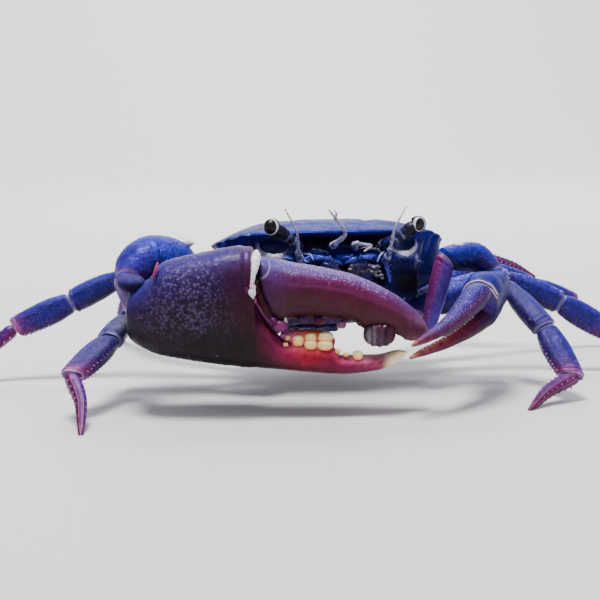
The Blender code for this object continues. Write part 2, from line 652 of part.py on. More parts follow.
def large_teeth(table, side):
    """The large claw's teeth with their crowns at the heights given: side is 1 above them and -1 below."""
    depth = LARGE_ALONG.cross(UP)
    places = []
    for at, crown, half, high, thick, front in table:
        centre = LARGE_ORIGIN + LARGE_ALONG * at + UP * (crown + side * high) + depth * front
        places.append((centre, half, high, thick))
    return teeth(LARGE_ALONG, UP, places)


def large_claw_piece(sections, squareness):
    ends = [LARGE_ORIGIN + LARGE_ALONG * section[0] for section in (sections[0], sections[-1])]
    return Tube(ends, UP, sections, squareness=squareness)


def wrist_ways(side):
    """The way that the arm comes into the wrist, and the way that the palm leaves it."""
    wrist = Vector(ARMS[side][3])
    at, up = LARGE_NECK_ROOT
    inside = {"right": LARGE_ORIGIN + LARGE_ALONG * at + UP * up, "left": Vector(SMALL_PALM_PATH[1])}[side]
    return (wrist - Vector(CARPUS_BENDS[side])).normalized(), (inside - wrist).normalized()


def make_large_claw():
    palm = large_claw_piece(LARGE_PALM, 2.2)
    hand = palm.build("claw_right_palm", "violet_shell", 14, 20)
    wrist = Vector(ARMS["right"][3])
    before, way = wrist_ways("right")
    cut = (before + way).normalized()
    at, up = LARGE_NECK_ROOT
    line = [wrist + way * GAP / 2 / way.dot(cut), LARGE_ORIGIN + LARGE_ALONG * at + UP * up]
    neck = Tube(line, UP, taper(3.7, 3.8, ((0, 0.6, 0.6), (0.25, 0.76, 0.76), (1, 1, 1))), (cut, None))
    at, up, *radii = LARGE_SHOULDER
    axes = (LARGE_ALONG, LARGE_ALONG.cross(UP), UP)
    shoulder = ball("shoulder", LARGE_ORIGIN + LARGE_ALONG * at + UP * up, axes, radii)
    fuse(hand, [neck.build("neck", "violet_shell", 2, 10), shoulder, *large_teeth(LARGE_PALM_TEETH, -1)])
    finger = large_claw_piece(LARGE_DACTYLUS, 2.3).build("claw_right_dactylus", "magenta_shell", 12, 14)
    fuse(finger, large_teeth(LARGE_DACTYLUS_TEETH, 1))


def make_small_claw():
    before, way = wrist_ways("left")
    cut = (before + way).normalized()
    start = Vector(ARMS["left"][3]) + way * GAP / 2 / way.dot(cut)
    palm = Tube([start, *SMALL_PALM_PATH[1:]], UP, SMALL_PALM, (cut, None), 2.2)
    hand = palm.build("claw_left_palm", "blue_shell", 18, 16)
    pieces = []
    for i in range(SMALL_TEETH):
        t = SMALL_TEETH_START + SMALL_TEETH_STEP * i
        along, _, up = palm.axes(t)
        centre = palm.point(t, math.pi / 2) - up * 0.15
        pieces += teeth(along, up, [(centre, *SMALL_TOOTH)], 5, 4)
    fuse(hand, pieces)
    Tube(SMALL_DACTYLUS_PATH, UP, SMALL_DACTYLUS).build("claw_left_dactylus", "violet_shell", 10, 12)


def make_arm(side):
    """The ischium, merus and carpus that carry a claw."""
    root, bend, elbow, wrist = (Vector(joint) for joint in ARMS[side])
    turn = Vector(CARPUS_BENDS[side])
    scale = ARM_SCALE[side]
    ways = [(bend - root).normalized(), (elbow - bend).normalized(), (turn - elbow).normalized()]
    upper = UP if side == "right" else Vector((1, 0, 0))
    mitred(root, bend, ways[0], ways[1], ARM_ISCHIUM, scale, UP, 2.4).build(
        f"claw_{side}_ischium", "violet_shell", 3, 12)
    mitred(bend, elbow, ways[0], ways[2], ARM_MERUS[side], scale, upper, 2.6).build(
        f"claw_{side}_merus", "violet_shell", 5, 12)
    before, way = wrist_ways(side)
    cuts = ((ways[1] + ways[2]).normalized(), (before + way).normalized())
    start = elbow + ways[2] * GAP / 2 / ways[2].dot(cuts[0])
    end = wrist - before * GAP / 2 / before.dot(cuts[1])
    kind = LARGE_CARPUS if side == "right" else SMALL_CARPUS
    carpus = Tube([start, turn, end], UP, taper(*kind), cuts, 2.15)
    made = carpus.build(f"claw_{side}_carpus", "blue_shell", 8, 16)
    t, angle, length, radius = CARPUS_SPINE
    inward = Vector((0.8 if side == "right" else -0.8, -0.45, 0.1))
    fuse(made, [spine(carpus.point(t, math.radians(angle)), inward, length * scale, radius * scale, 6)])


def make_thorax():
    """The breast plates, with the coxae that the limbs leave from."""
    turns = [2 * math.pi * j / 20 for j in range(20)]
    rings = [
        [body(width * math.cos(turn), THORAX_CENTRE_Y + length * math.sin(turn), height) for turn in turns]
        for height, length, width in THORAX_PLATES
    ]
    breast = solid("thorax", rings, "violet_shell")
    stubs = []
    for joints in [*LEGS.values(), *ARMS.values()]:
        hip = Vector(joints[0])
        way = (Vector(joints[1]) - hip).normalized()
        root = Vector((hip.x * 0.5, hip.y * 0.7, hip.z - 0.3))
        stubs.append(Tube([root, hip], UP, taper(*COXA), (None, way)).build("coxa", "violet_shell", 2, 8))
    fuse(breast, stubs)


def make_abdomen():
    sections = [(0.0, -0.5, 0.5, 8.0, 0.0)]
    for share, half_width, thickness in ABDOMEN_PLATES:
        sections.append((share - 0.015, -thickness / 2, thickness / 2, half_width, 0.0))
        sections.append((share, -thickness / 2, thickness / 2 - PLATE_STEP, half_width - PLATE_STEP, 0.0))
    path = [body(0, y, z) for y, z in ABDOMEN_PATH]
    Tube(path, (0, -1, 0.35), sections, squareness=3.0).build("abdomen", "violet_shell", 8, 12)


def make_head():
    """The mouth's outer limbs, the eyes on their stalks and the feelers."""
    for side, sign in (("right", -1), ("left", 1)):
        path = [body(sign * x, y, z) for x, y, z in MAXILLIPED_PATH]
        mouth_limb = Tube(path, (0, -1, 0), taper(*MAXILLIPED), squareness=3.2)
        mouth_limb.build(f"maxilliped_{side}", "violet_shell", 6, 12)
        root = body(sign * EYE_ROOT[0], *EYE_ROOT[1:])
        bend = body(sign * EYE_BEND[0], *EYE_BEND[1:])
        eye = body(sign * EYE_CENTRE[0], *EYE_CENTRE[1:])
        way = (eye - bend).normalized()
        neck = eye - way * (EYE_RADII[0] * 0.35 + GAP)
        stalk = Tube([root, bend, neck], UP, taper(*EYESTALK), squareness=2.0)
        stalk.build(f"eyestalk_{side}", "pale_skin", 6, 12)
        front = way.cross(UP).normalized()
        globe = ball(f"eye_{side}", eye, (front, front.cross(way), way), EYE_RADII, 14, 10)
        globe.data.materials.append(bpy.data.materials["eye"])
        cut_off(globe, neck + way * GAP, -way)
    for name, path in FEELERS.items():
        kind = ANTENNA if name.startswith("antenna") else ANTENNULE
        Tube(path, (0, 1, 0.3), taper(*kind), squareness=2.0).build(name, "pale_skin", 9, 8)


def centre_on_floor():
    """Moves everything so that the origin is on the floor under the middle of the whole animal."""
    for axis in (0, 1):
        places = []
        for made in bpy.data.objects:
            places += [made.location[axis] + vertex.co[axis] for vertex in made.data.vertices]
        middle = (min(places) + max(places)) / 2
        for made in bpy.data.objects:
            made.location[axis] -= middle


def main():
    for old in list(bpy.data.objects):
        bpy.data.objects.remove(old)
    for name, (colour, roughness) in COLOURS.items():
        made = bpy.data.materials.new(name)
        made.use_nodes = True
        shader = made.node_tree.nodes["Principled BSDF"]
        shader.inputs["Base Color"].default_value = colour
        shader.inputs["Roughness"].default_value = roughness
    make_carapace()
    make_thorax()
    make_abdomen()
    make_head()
    for side in ARMS:
        make_arm(side)
    make_large_claw()
    make_small_claw()
    for name, joints in LEGS.items():
        make_leg(name, joints)
    centre_on_floor()


main()
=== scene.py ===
import math

import bpy
import numpy as np
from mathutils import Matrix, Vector, noise


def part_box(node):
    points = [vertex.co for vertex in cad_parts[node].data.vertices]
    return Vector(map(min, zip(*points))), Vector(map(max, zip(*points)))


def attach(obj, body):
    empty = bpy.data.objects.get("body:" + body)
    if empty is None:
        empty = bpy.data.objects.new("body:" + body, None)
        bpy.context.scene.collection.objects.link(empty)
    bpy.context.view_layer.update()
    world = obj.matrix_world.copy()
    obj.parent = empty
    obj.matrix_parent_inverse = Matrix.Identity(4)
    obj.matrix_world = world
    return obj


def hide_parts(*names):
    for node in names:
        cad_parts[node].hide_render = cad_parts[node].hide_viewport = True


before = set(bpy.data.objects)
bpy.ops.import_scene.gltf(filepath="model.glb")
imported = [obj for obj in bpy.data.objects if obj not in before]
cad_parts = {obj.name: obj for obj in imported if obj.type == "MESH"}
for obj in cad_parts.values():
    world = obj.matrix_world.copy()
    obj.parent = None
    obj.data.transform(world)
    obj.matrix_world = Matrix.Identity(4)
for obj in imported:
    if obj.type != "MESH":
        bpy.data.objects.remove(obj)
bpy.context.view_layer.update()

# A violet-blue freshwater crab at life size, standing with its large right claw folded across its face.
# Sizes are in millimetres until a mesh is made. The stance frame has its origin on the floor under the middle
# of the carapace, the crab facing -y and its left side at +x. The body frame is level with the crab, which
# pitches nose-up in the stance frame.
gap = 0.3  # between two segments, for the joint skin
level = np.array((0.0, 0.0, 1.0))
bothSides = (("right", -1), ("left", 1))
stance = {
    "pitch": math.radians(8.0),
    "height": 30.4,
    "moved": np.zeros(3),  # from the stance frame to the middle of the floor, found from the carapace
}


def unit(way):
    return way / np.maximum(np.linalg.norm(way, axis=-1, keepdims=True), 1e-12)


def fromBody(points):
    # places in the body frame, in the stance frame
    points = np.asarray(points, float)
    cosine = math.cos(stance["pitch"])
    sine = math.sin(stance["pitch"])
    x, y, z = points[..., 0], points[..., 1], points[..., 2]
    return np.stack((x, y * cosine + z * sine, stance["height"] + z * cosine - y * sine), -1)


def smoothCurve(places, values, at):
    # a curve through the values that doesn't overshoot them, as the solids use
    x = np.asarray(places, float)
    y = np.asarray(values, float)
    at = np.clip(np.asarray(at, float), x[0], x[-1])
    widths = np.diff(x).reshape((-1,) + (1,) * (y.ndim - 1))
    slopes = np.diff(y, axis=0) / widths
    total = slopes[:-1] + slopes[1:]
    product = slopes[:-1] * slopes[1:]
    inner = np.where(product > 0, 2 * product / np.where(total == 0, 1, total), 0)
    tangents = np.concatenate((slopes[:1], inner, slopes[-1:]))
    index = np.clip(np.searchsorted(x, at, side="left") - 1, 0, len(x) - 2)
    width = x[index + 1] - x[index]
    t = (at - x[index]) / width
    if y.ndim == 2:
        width = width[..., None]
        t = t[..., None]
    return (
        y[index] * (1 + 2 * t) * (1 - t) ** 2
        + y[index + 1] * t * t * (3 - 2 * t)
        + width * (tangents[index] * t * (1 - t) ** 2 - tangents[index + 1] * t * t * (1 - t))
    )


def ramp(value, low, high):
    t = np.clip((np.asarray(value, float) - low) / (high - low), 0, 1)
    return t * t * (3 - 2 * t)


def peak(distance, width):
    return np.exp(-((distance / width) ** 2))


def hill(x, y, atX, atY, radiusX, radiusY, power=2):
    return np.exp(-np.abs((x - atX) / radiusX) ** power - np.abs((y - atY) / radiusY) ** power)


def noiseAt(points, size, seed=0.0):
    # smooth noise from -1 to 1 with features about size millimetres wide
    flat = points.reshape(-1, 3) / size + seed
    return np.array([noise.noise(Vector(p)) for p in flat]).reshape(points.shape[:-1])


def layers(points, *settings):
    # layered noise: the depth, the size and the seed of each layer
    return sum(depth * noiseAt(points, size, seed) for depth, size, seed in settings)


def cellsAt(points, size, seed=0.0):
    # the distance to the nearest of scattered cell centres, in cells
    flat = points.reshape(-1, 3) / size + seed
    return np.array([noise.voronoi(Vector(p))[0][0] for p in flat]).reshape(points.shape[:-1])


class Limb:
    # a tapered shell along a smooth path, with a squarish section and a cut plane at each end; sections hold
    # the place along, the lower and the upper edge, the half depth, and the shift if there is one
    def __init__(self, path, up, sections, cuts=(None, None), squareness=2.3, crest=0.0):
        self.path = np.array([tuple(place) for place in path], float)
        self.up = np.array(tuple(up), float)
        self.sections = np.array([(*row, 0)[:5] for row in sections], float)
        self.cuts = cuts
        self.squareness = squareness
        self.crest = crest
        steps = np.linalg.norm(np.diff(self.path, axis=0), axis=1)
        self.lengths = np.concatenate(((0.0,), np.cumsum(steps)))
        self.first = self.sections[0, 0]
        self.span = self.sections[-1, 0] - self.first
        self.ends = (self.axes(np.zeros(1))[0][0], self.axes(np.ones(1))[0][0])

    def centre(self, t):
        return smoothCurve(self.lengths, self.path, np.asarray(t) * self.lengths[-1])

    def axes(self, t):
        step = 0.01
        along = unit(self.centre(np.minimum(1, t + step)) - self.centre(np.maximum(0, t - step)))
        depth = unit(np.cross(along, self.up))
        return along, depth, np.cross(depth, along)

    def size(self, t, column):
        return smoothCurve(self.sections[:, 0], self.sections[:, column], self.first + t * self.span)

    def at(self, t, angle):
        # places on the surface: t and angle are arrays of one shape
        shape = np.broadcast(t, angle).shape
        t = np.broadcast_to(t, shape).ravel().astype(float)
        angle = np.broadcast_to(angle, shape).ravel()
        along, depth, height = self.axes(t)
        cosine, sine = np.cos(angle), np.sin(angle)
        power = 2 / self.squareness
        across = np.sign(cosine) * np.abs(cosine) ** power * self.size(t, 3) + self.size(t, 4)
        low, high = self.size(t, 1), self.size(t, 2)
        lift = (low + high) / 2 + (high - low) / 2 * np.sign(sine) * np.abs(sine) ** power
        lift += self.crest * np.maximum(0, sine) ** 8 * np.sin(math.pi * t)
        offset = depth * across[:, None] + height * lift[:, None]
        shear = np.zeros(len(t))
        for end, share in ((0, (1 - t) ** 4), (1, t**4)):
            if self.cuts[end] is not None:
                cut = np.array(tuple(self.cuts[end]))
                shear -= share * (offset @ cut) / (self.ends[end] @ cut)
        return (self.centre(t) + offset + along * shear[:, None]).reshape(shape + (3,))

    def out(self, t, angle):
        # the way out of the surface, square to the path
        middle = sum(self.at(t, np.radians(a)) for a in (0.0, 90.0, 180.0, 270.0)) / 4
        way = self.at(t, angle) - middle
        along = self.axes(np.atleast_1d(t).astype(float))[0]
        way = np.atleast_2d(way)
        return unit(way - along * (way * along).sum(-1, keepdims=True))


def evenRings(count):
    # ring places, closer together at the two ends
    t = np.linspace(0, 1, count)
    return t - 0.35 * np.sin(2 * math.pi * t) / (2 * math.pi)


def gridNormals(points):
    alongWay = np.gradient(points, axis=0)
    roundWay = np.roll(points, -1, 1) - np.roll(points, 1, 1)
    normals = unit(np.cross(roundWay, alongWay))
    outwards = (normals * (points - points.mean(1, keepdims=True))).sum()
    return normals if outwards > 0 else -normals


def placed(points):
    # stance places in millimetres, as metres in the model's frame
    return (np.asarray(points, float) + stance["moved"]) * 0.001


def addObject(name, data):
    made = bpy.data.objects.new(name, data)
    bpy.context.scene.collection.objects.link(made)
    return made


def makeMesh(name, points, faces, values=None):
    # points in stance millimetres; faces as one array, or as a list of arrays with equally long rows;
    # values for the material at each point, of which any left out read as 0
    groups = faces if isinstance(faces, list) else [faces]
    mesh = bpy.data.meshes.new(name)
    corners = np.concatenate([np.asarray(group).ravel() for group in groups])
    sizes = np.concatenate([np.full(len(group), np.asarray(group).shape[1]) for group in groups])
    mesh.vertices.add(len(points))
    mesh.vertices.foreach_set("co", placed(points).ravel())
    mesh.loops.add(len(corners))
    mesh.loops.foreach_set("vertex_index", corners.astype(np.int32))
    mesh.polygons.add(len(sizes))
    mesh.polygons.foreach_set("loop_start", np.concatenate(((0,), np.cumsum(sizes)[:-1])).astype(np.int32))
    mesh.update(calc_edges=True)
    mesh.validate()
    for key, value in (values or {}).items():
        mesh.attributes.new(key, "FLOAT", "POINT").data.foreach_set("value", np.asarray(value, float).ravel())
    mesh.shade_smooth()
    return addObject(name, mesh)


def gridShape(rings):
    # faces of a closed skin over rings of equally many points, with a point at the middle of each end
    count, sides = rings.shape[:2]
    points = rings.reshape(-1, 3)
    index = np.arange(count * sides).reshape(count, sides)
    after = np.roll(index, -1, 1)
    quads = np.stack((index[:-1], after[:-1], after[1:], index[1:]), -1).reshape(-1, 4)
    first, last = count * sides, count * sides + 1
    start = np.stack((np.full(sides, first), after[0], index[0]), -1)
    end = np.stack((np.full(sides, last), index[-1], after[-1]), -1)
    points = np.concatenate((points, rings[:1].mean(1), rings[-1:].mean(1)))
    triangles = np.concatenate((start, end))
    a, b, c = (points[quads[:, k]] for k in (0, 1, 2))
    middle = points[quads].mean(1)
    ringMiddle = np.repeat(rings.mean(1)[:-1], sides, 0)
    if (np.cross(b - a, c - a) * (middle - ringMiddle)).sum() < 0:
        quads = quads[:, ::-1]
        triangles = triangles[:, ::-1]
    return points, [quads, triangles]


def joinShapes(shapes):
    # several (points, faces) shapes as one
    points = []
    groups = {}
    start = 0
    for shapePoints, shapeFaces in shapes:
        for group in shapeFaces if isinstance(shapeFaces, list) else [shapeFaces]:
            groups.setdefault(np.asarray(group).shape[1], []).append(np.asarray(group) + start)
        points.append(shapePoints)
        start += len(shapePoints)
    return np.concatenate(points), [np.concatenate(group) for group in groups.values()]


def ball(centre, axes, radii, segments=20, rings=14, power=1.0):
    # an ellipsoid with its own three directions, squarer as the power goes below 1
    turn = np.linspace(0, 2 * math.pi, segments, endpoint=False)
    rise = np.linspace(-math.pi / 2, math.pi / 2, rings + 1)[1:-1]

    def bend(value):
        return np.sign(value) * np.abs(value) ** power

    local = np.stack(np.broadcast_arrays(
        bend(np.cos(rise))[:, None] * bend(np.cos(turn)) * radii[0],
        bend(np.cos(rise))[:, None] * bend(np.sin(turn)) * radii[1],
        bend(np.sin(rise))[:, None] * radii[2] + turn * 0,
    ), -1)
    axes = np.array([tuple(axis) for axis in axes])
    points, faces = gridShape(np.asarray(centre, float) + local @ axes)
    poles = np.array((-1, 1))[:, None] * axes[2] * radii[2]
    points[-2:] = np.asarray(centre, float) + poles
    return points, faces


def endRings(ring, way, steps):
    # further rings beyond an end ring, as (scale, millimetres further along way)
    middle = ring.mean(0)
    return np.array([middle + (ring - middle) * scale + way * reach for scale, reach in steps])


# how a segment ends: (scale, reach) of the rings past its end
socket = ((0.93, 0.03), (0.86, -0.12), (0.80, -0.5), (0.4, -0.6))
neck = ((0.97, 0.12), (0.90, 0.35), (0.78, 0.55), (0.4, 0.62))
tip = ((0.8, 0.12), (0.5, 0.25), (0.2, 0.3))
plain = ((0.9, 0.05), (0.5, 0.08))
stump = ((0.8, -0.02), (0.4, -0.01))


def limbShape(limb, rings, sides, relief=None, start=neck, end=socket):
    # a limb's surface with its relief, its ends and the values that its material reads
    t = evenRings(rings)
    angle = np.linspace(0, 2 * math.pi, sides, endpoint=False) + math.pi / sides
    t, angle = np.meshgrid(t, angle, indexing="ij")
    points = limb.at(t, angle)
    values = {"along": t, "high": np.sin(angle), "pale": np.zeros_like(t)}
    if relief is not None:
        lift, more = relief(points, t, angle)
        edge = ramp(t, 0, 0.03) * (1 - ramp(t, 0.97, 1)) if end != tip else ramp(t, 0, 0.03)
        points = points + gridNormals(points) * (lift * edge)[..., None]
        values.update(more)
    before = endRings(points[0], -cutWay(limb, 0), start)[::-1]
    after = endRings(points[-1], cutWay(limb, 1), end)
    rings = np.concatenate((before, points, after))
    for key, value in values.items():
        low = np.repeat(value[:1], len(before), 0)
        high = np.repeat(value[-1:], len(after), 0)
        if key == "pale" and start == neck:
            low = np.full_like(low, 0.4)
        if key == "pale" and end == socket:
            high = np.ones_like(high) * np.array((0.3, 0.45, 0.4, 0.4))[:, None]
        grid = np.concatenate((low, value, high))
        values[key] = np.concatenate((grid.ravel(), (grid[0].mean(), grid[-1].mean())))
    shape = gridShape(rings)
    return shape[0], shape[1], values


def cutWay(limb, end):
    # the way past an end, square to its cut
    way = limb.ends[end]
    cut = limb.cuts[end]
    if cut is None:
        return way
    cut = np.array(tuple(cut))
    return cut if cut @ way > 0 else -cut


def finishPiece(made, surface, nodes=()):
    # gives a piece its material, its place on the body and the solids that it stands for
    made.data.materials.clear()
    made.data.materials.append(surface)
    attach(made, "root")
    if nodes:
        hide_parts(*nodes)
    return made


# Materials
def colour(red, green, blue, tone=(1.0, 1.0)):
    # a screen colour from 0 to 255, as the linear values that a shader takes; tone deepens it
    shares = [value / 255 for value in (red, green, blue)]
    linear = [c / 12.92 if c < 0.04 else ((c + 0.055) / 1.055) ** 2.4 for c in shares]
    return (*[tone[0] * c ** tone[1] for c in linear], 1.0)


def addNode(tree, kind, inputs=None, **settings):
    made = tree.nodes.new(kind)
    for key, value in settings.items():
        setattr(made, key, value)
    for key, value in (inputs or {}).items():
        if isinstance(value, bpy.types.NodeSocket):
            tree.links.new(value, made.inputs[key])
        else:
            made.inputs[key].default_value = value
    return made


def readValue(tree, name):
    return addNode(tree, "ShaderNodeAttribute", attribute_name=name).outputs["Fac"]


def calculate(tree, operation, first, second):
    return addNode(tree, "ShaderNodeMath", {0: first, 1: second}, operation=operation).outputs[0]


def multiply(tree, first, *others):
    for other in others:
        first = calculate(tree, "MULTIPLY", first, other)
    return first


def remap(tree, value, low, high, toLow=0.0, toHigh=1.0):
    inputs = {"Value": value, "From Min": low, "From Max": high, "To Min": toLow, "To Max": toHigh}
    return addNode(tree, "ShaderNodeMapRange", inputs, interpolation_type="SMOOTHSTEP").outputs["Result"]


def mixColours(tree, factor, first, second, blend="MIX"):
    inputs = {0: factor, 6: first, 7: second}
    return addNode(tree, "ShaderNodeMix", inputs, data_type="RGBA", blend_type=blend).outputs[2]


def colourRamp(tree, value, stops, tone):
    made = addNode(tree, "ShaderNodeValToRGB", {"Fac": value})
    elements = made.color_ramp.elements
    while len(elements) < len(stops):
        elements.new(1.0)
    while len(elements) > len(stops):
        elements.remove(elements[-1])
    for element, (place, *shade) in zip(elements, stops):
        element.position = place
        element.color = colour(*shade, tone)
    return made.outputs["Color"]


shellFinish = {
    "wander": 0.25,  # how far the colour bands stray
    "wanderSize": 2.4,
    "mottle": 0.35,  # darkest share of the mottling
    "mottleSize": 0.9,
    "speck": None,  # colour of the fine specks
    "speckSize": 0.55,
    "speckShare": 0.28,
    "speckStrength": 0.5,
    "speckMasked": False,  # whether the specks keep to the part that the "speck" value marks
    "net": None,  # colour of a net of fine lines where the "net" value is set
    "netSize": 0.9,
    # the colours that the pale and dark values mix in: pale marks and painted highlights, dark seams and
    # painted shade
    "pale": (214, 190, 222),
    "dark": (10, 8, 16),
    "grain": 0.42,  # width of the finest granules
    "grainDepth": 0.035,
    "roughness": (0.36, 0.52),
    "specular": 0.2,
    "metal": 0.12,
    "coat": 0.05,
    "coatRoughness": 0.16,
    "wetSize": 0.9,  # width of the crinkles in the wet film
    "wetDepth": 0.0,
    "tone": (0.66, 1.18),
}


def makeShell(name, slotName, lowest, *bands, **changes):
    # lowest: colours along the lower side, each as its share of the length and its red, green and blue on a
    # screen. Each band adds its place in "high" and the width over which it takes over.
    look = {**shellFinish, **changes}
    made = bpy.data.materials.new(name)
    made.use_nodes = True
    tree = made.node_tree
    tree.nodes.clear()
    place = addNode(tree, "ShaderNodeTexCoord").outputs["Object"]

    def noiseNode(size, detail=3.0):
        inputs = {"Vector": place, "Scale": 1000 / size, "Detail": detail}
        return addNode(tree, "ShaderNodeTexNoise", inputs).outputs["Fac"]

    def cellNode(size, feature="F1"):
        inputs = {"Vector": place, "Scale": 1000 / size}
        return addNode(tree, "ShaderNodeTexVoronoi", inputs, feature=feature).outputs["Distance"]

    stray = calculate(tree, "SUBTRACT", noiseNode(look["wanderSize"]), 0.5)
    stray = multiply(tree, stray, look["wander"])
    high = calculate(tree, "ADD", readValue(tree, "high"), stray)
    along = calculate(tree, "ADD", readValue(tree, "along"), multiply(tree, stray, 0.3))
    shade = colourRamp(tree, along, lowest, look["tone"])
    for middle, width, *stops in bands:
        factor = remap(tree, high, middle - width / 2, middle + width / 2)
        shade = mixColours(tree, factor, shade, colourRamp(tree, along, stops, look["tone"]))
    darkest, lightest = 1 - look["mottle"], 1 + look["mottle"] * 0.6
    mottle = remap(tree, noiseNode(look["mottleSize"], 5.0), 0.32, 0.68, darkest, lightest)
    grey = addNode(tree, "ShaderNodeCombineColor", {0: mottle, 1: mottle, 2: mottle}).outputs[0]
    shade = mixColours(tree, 1.0, shade, grey, "MULTIPLY")
    if look["speck"]:
        near = remap(tree, cellNode(look["speckSize"]), look["speckShare"], look["speckShare"] * 0.5)
        patch = readValue(tree, "speck") if look["speckMasked"] else remap(tree, noiseNode(3.5), 0.42, 0.62)
        strength = multiply(tree, near, patch, look["speckStrength"])
        shade = mixColours(tree, strength, shade, colour(*look["speck"]))
    if look["net"]:
        line = remap(tree, cellNode(look["netSize"], "DISTANCE_TO_EDGE"), 0.26, 0.02)
        worn = remap(tree, noiseNode(1.1), 0.42, 0.60)
        strength = multiply(tree, line, worn, readValue(tree, "net"))
        shade = mixColours(tree, strength, shade, colour(*look["net"]))
    # pale marks and painted highlights, then dark seams and painted shade
    shade = mixColours(tree, readValue(tree, "pale"), shade, colour(*look["pale"]))
    shade = mixColours(tree, readValue(tree, "dark"), shade, colour(*look["dark"]))
    height = calculate(tree, "ADD", cellNode(look["grain"], "SMOOTH_F1"), noiseNode(0.25, 4.0))
    bump = addNode(tree, "ShaderNodeBump", {
        "Height": height, "Strength": 0.55, "Distance": look["grainDepth"] * 0.001,
    }).outputs["Normal"]
    low, top = look["roughness"]
    rough = remap(tree, noiseNode(1.6), 0.3, 0.7, low, top)
    inputs = {
        "Base Color": shade, "Roughness": rough, "Normal": bump, "Metallic": look["metal"],
        "Specular IOR Level": look["specular"], "Coat Weight": look["coat"],
        "Coat Roughness": look["coatRoughness"],
    }
    if look["wetDepth"]:
        inputs["Coat Normal"] = addNode(tree, "ShaderNodeBump", {
            "Height": noiseNode(look["wetSize"], 2.0), "Distance": look["wetDepth"] * 0.001,
        }).outputs["Normal"]
    shader = addNode(tree, "ShaderNodeBsdfPrincipled", inputs)
    output = addNode(tree, "ShaderNodeOutputMaterial")
    tree.links.new(shader.outputs[0], output.inputs["Surface"])
    return made


# Camera, floor and lights
view = {  # place and lens in millimetres, angles in degrees
    "place": (-59.0, -258.06, 57.86),
    "turn": -12.03,
    "down": 8.96,
    "lens": 70.8,
}


def makeCamera():
    data = bpy.data.cameras.new("camera")
    data.lens = view["lens"]
    data.sensor_width = 36.0
    data.clip_start = 0.01
    data.clip_end = 10.0
    made = addObject("camera", data)
    made.location = [value * 0.001 for value in view["place"]]
    made.rotation_euler = (math.radians(90 - view["down"]), 0, math.radians(view["turn"]))
    bpy.context.scene.camera = made


studio = {
    "floor": (232, 230, 232),
    "world": (0.84, 0.85, 0.90),
    "worldStrength": 0.30,
    # place, target, size, power and colour of each soft light, in metres and watts
    "lights": (
        ("key", (-0.10, -0.12, 0.62), (0, 0, 0.02), 0.20, 6.0, (1.0, 0.98, 0.96)),
        ("fill", (0.45, -0.40, 0.28), (0, 0, 0.02), 0.40, 0.55, (0.86, 0.88, 1.0)),
        ("rim", (0.10, 0.45, 0.50), (0, 0, 0.02), 0.40, 1.0, (0.90, 0.92, 1.0)),
        ("backdropLight", (0.25, 0.60, 1.10), (0.35, 1.60, 0.35), 1.40, 34.0, (1.0, 1.0, 1.0)),
    ),
}


def makeStudio():
    # the floor runs up behind the crab in a wide bow
    bow = []
    for place in np.linspace(0, 1, 24):
        turn = place * math.pi / 2
        bow.append((900 + 600 * math.sin(turn), 600 * (1 - math.cos(turn))))
    profile = [(-1200.0, 0.0), (600.0, 0.0), *bow, (1500.0, 2200.0)]
    points = np.array([(x, y, z) for y, z in profile for x in (-2600.0, 2600.0)]) - stance["moved"]
    index = np.arange(len(profile) - 1) * 2
    floor = makeMesh("floor", points, np.stack((index, index + 1, index + 3, index + 2), -1))
    surface = bpy.data.materials.new("floorPaint")
    surface.use_nodes = True
    shader = surface.node_tree.nodes["Principled BSDF"]
    shader.inputs["Base Color"].default_value = colour(*studio["floor"])
    shader.inputs["Roughness"].default_value = 0.75
    floor.data.materials.append(surface)
    world = bpy.context.scene.world or bpy.data.worlds.new("world")
    bpy.context.scene.world = world
    world.use_nodes = True
    background = world.node_tree.nodes["Background"]
    background.inputs["Color"].default_value = (*studio["world"], 1.0)
    background.inputs["Strength"].default_value = studio["worldStrength"]
    for name, place, target, size, power, shade in studio["lights"]:
        data = bpy.data.lights.new(name, "AREA")
        data.shape = "DISK"
        data.size = size
        data.energy = power
        data.color = shade
        made = addObject(name, data)
        made.location = place
        made.rotation_euler = (Vector(target) - Vector(place)).to_track_quat("-Z", "Y").to_euler()


# Carapace
carapace = {
    "outline": (  # half of the margin from the middle of the front: x, y, bulge of the edge to the next point
        (0.0, -19.1, 0.15), (5.0, -19.7, 0.15), (10.3, -18.9, -0.55), (17.2, -17.0, -0.25),
        (18.8, -15.0, 0.35), (21.0, -14.0, -0.20), (21.5, -12.2, 0.30), (23.3, -11.0, -0.12),
        (23.8, -9.2, 0.20), (24.8, -7.3, 0.35), (24.6, -1.0, 0.55), (20.2, 10.0, 0.45),
        (11.0, 19.0, 0.40), (6.5, 19.9, 0.10), (0.0, 20.1, 0.0),
    ),
    "marginHeights": (  # y and height
        (-20.0, 1.2), (-16.0, 1.1), (-12.0, 0.4), (-8.0, -0.3), (0.0, -0.8), (10.0, -1.7), (20.0, -2.3),
    ),
    # how far the wall runs in below the margin, and the share of the way down
    "sideWall": (
        (0, 0), (0.9, 0.05), (1.8, 0.17), (2.6, 0.36), (3.6, 0.56), (5.2, 0.76), (7.2, 0.92), (9.0, 1.0),
    ),
    "faceWall": (
        (0, 0), (1.4, 0.06), (3.4, 0.15), (3.0, 0.28), (1.5, 0.36), (1.4, 0.43), (4.0, 0.53), (4.8, 1.0),
    ),
    "floor": -12.6,
    "dome": 4.6,
    "centreY": -1.0,
    "stepsPerMm": 2.6,
    "domeRings": 110,
    "wallRings": 74,
    "cheekStep": 2.2,
    "fullness": 0.85,  # how much less the wall turns under below the corner beside each orbit
    "fullAt": (23.6, -9.0, 3.6, 4.6),
    "swellings": (  # height, place across and along, half sizes
        (0.75, 15.0, 1.5, 7.5, 9.0), (0.30, 3.6, -14.6, 2.6, 1.7), (0.38, 11.0, -13.6, 5.0, 1.2),
        (0.25, 0.0, 9.0, 4.5, 4.0),
    ),
}


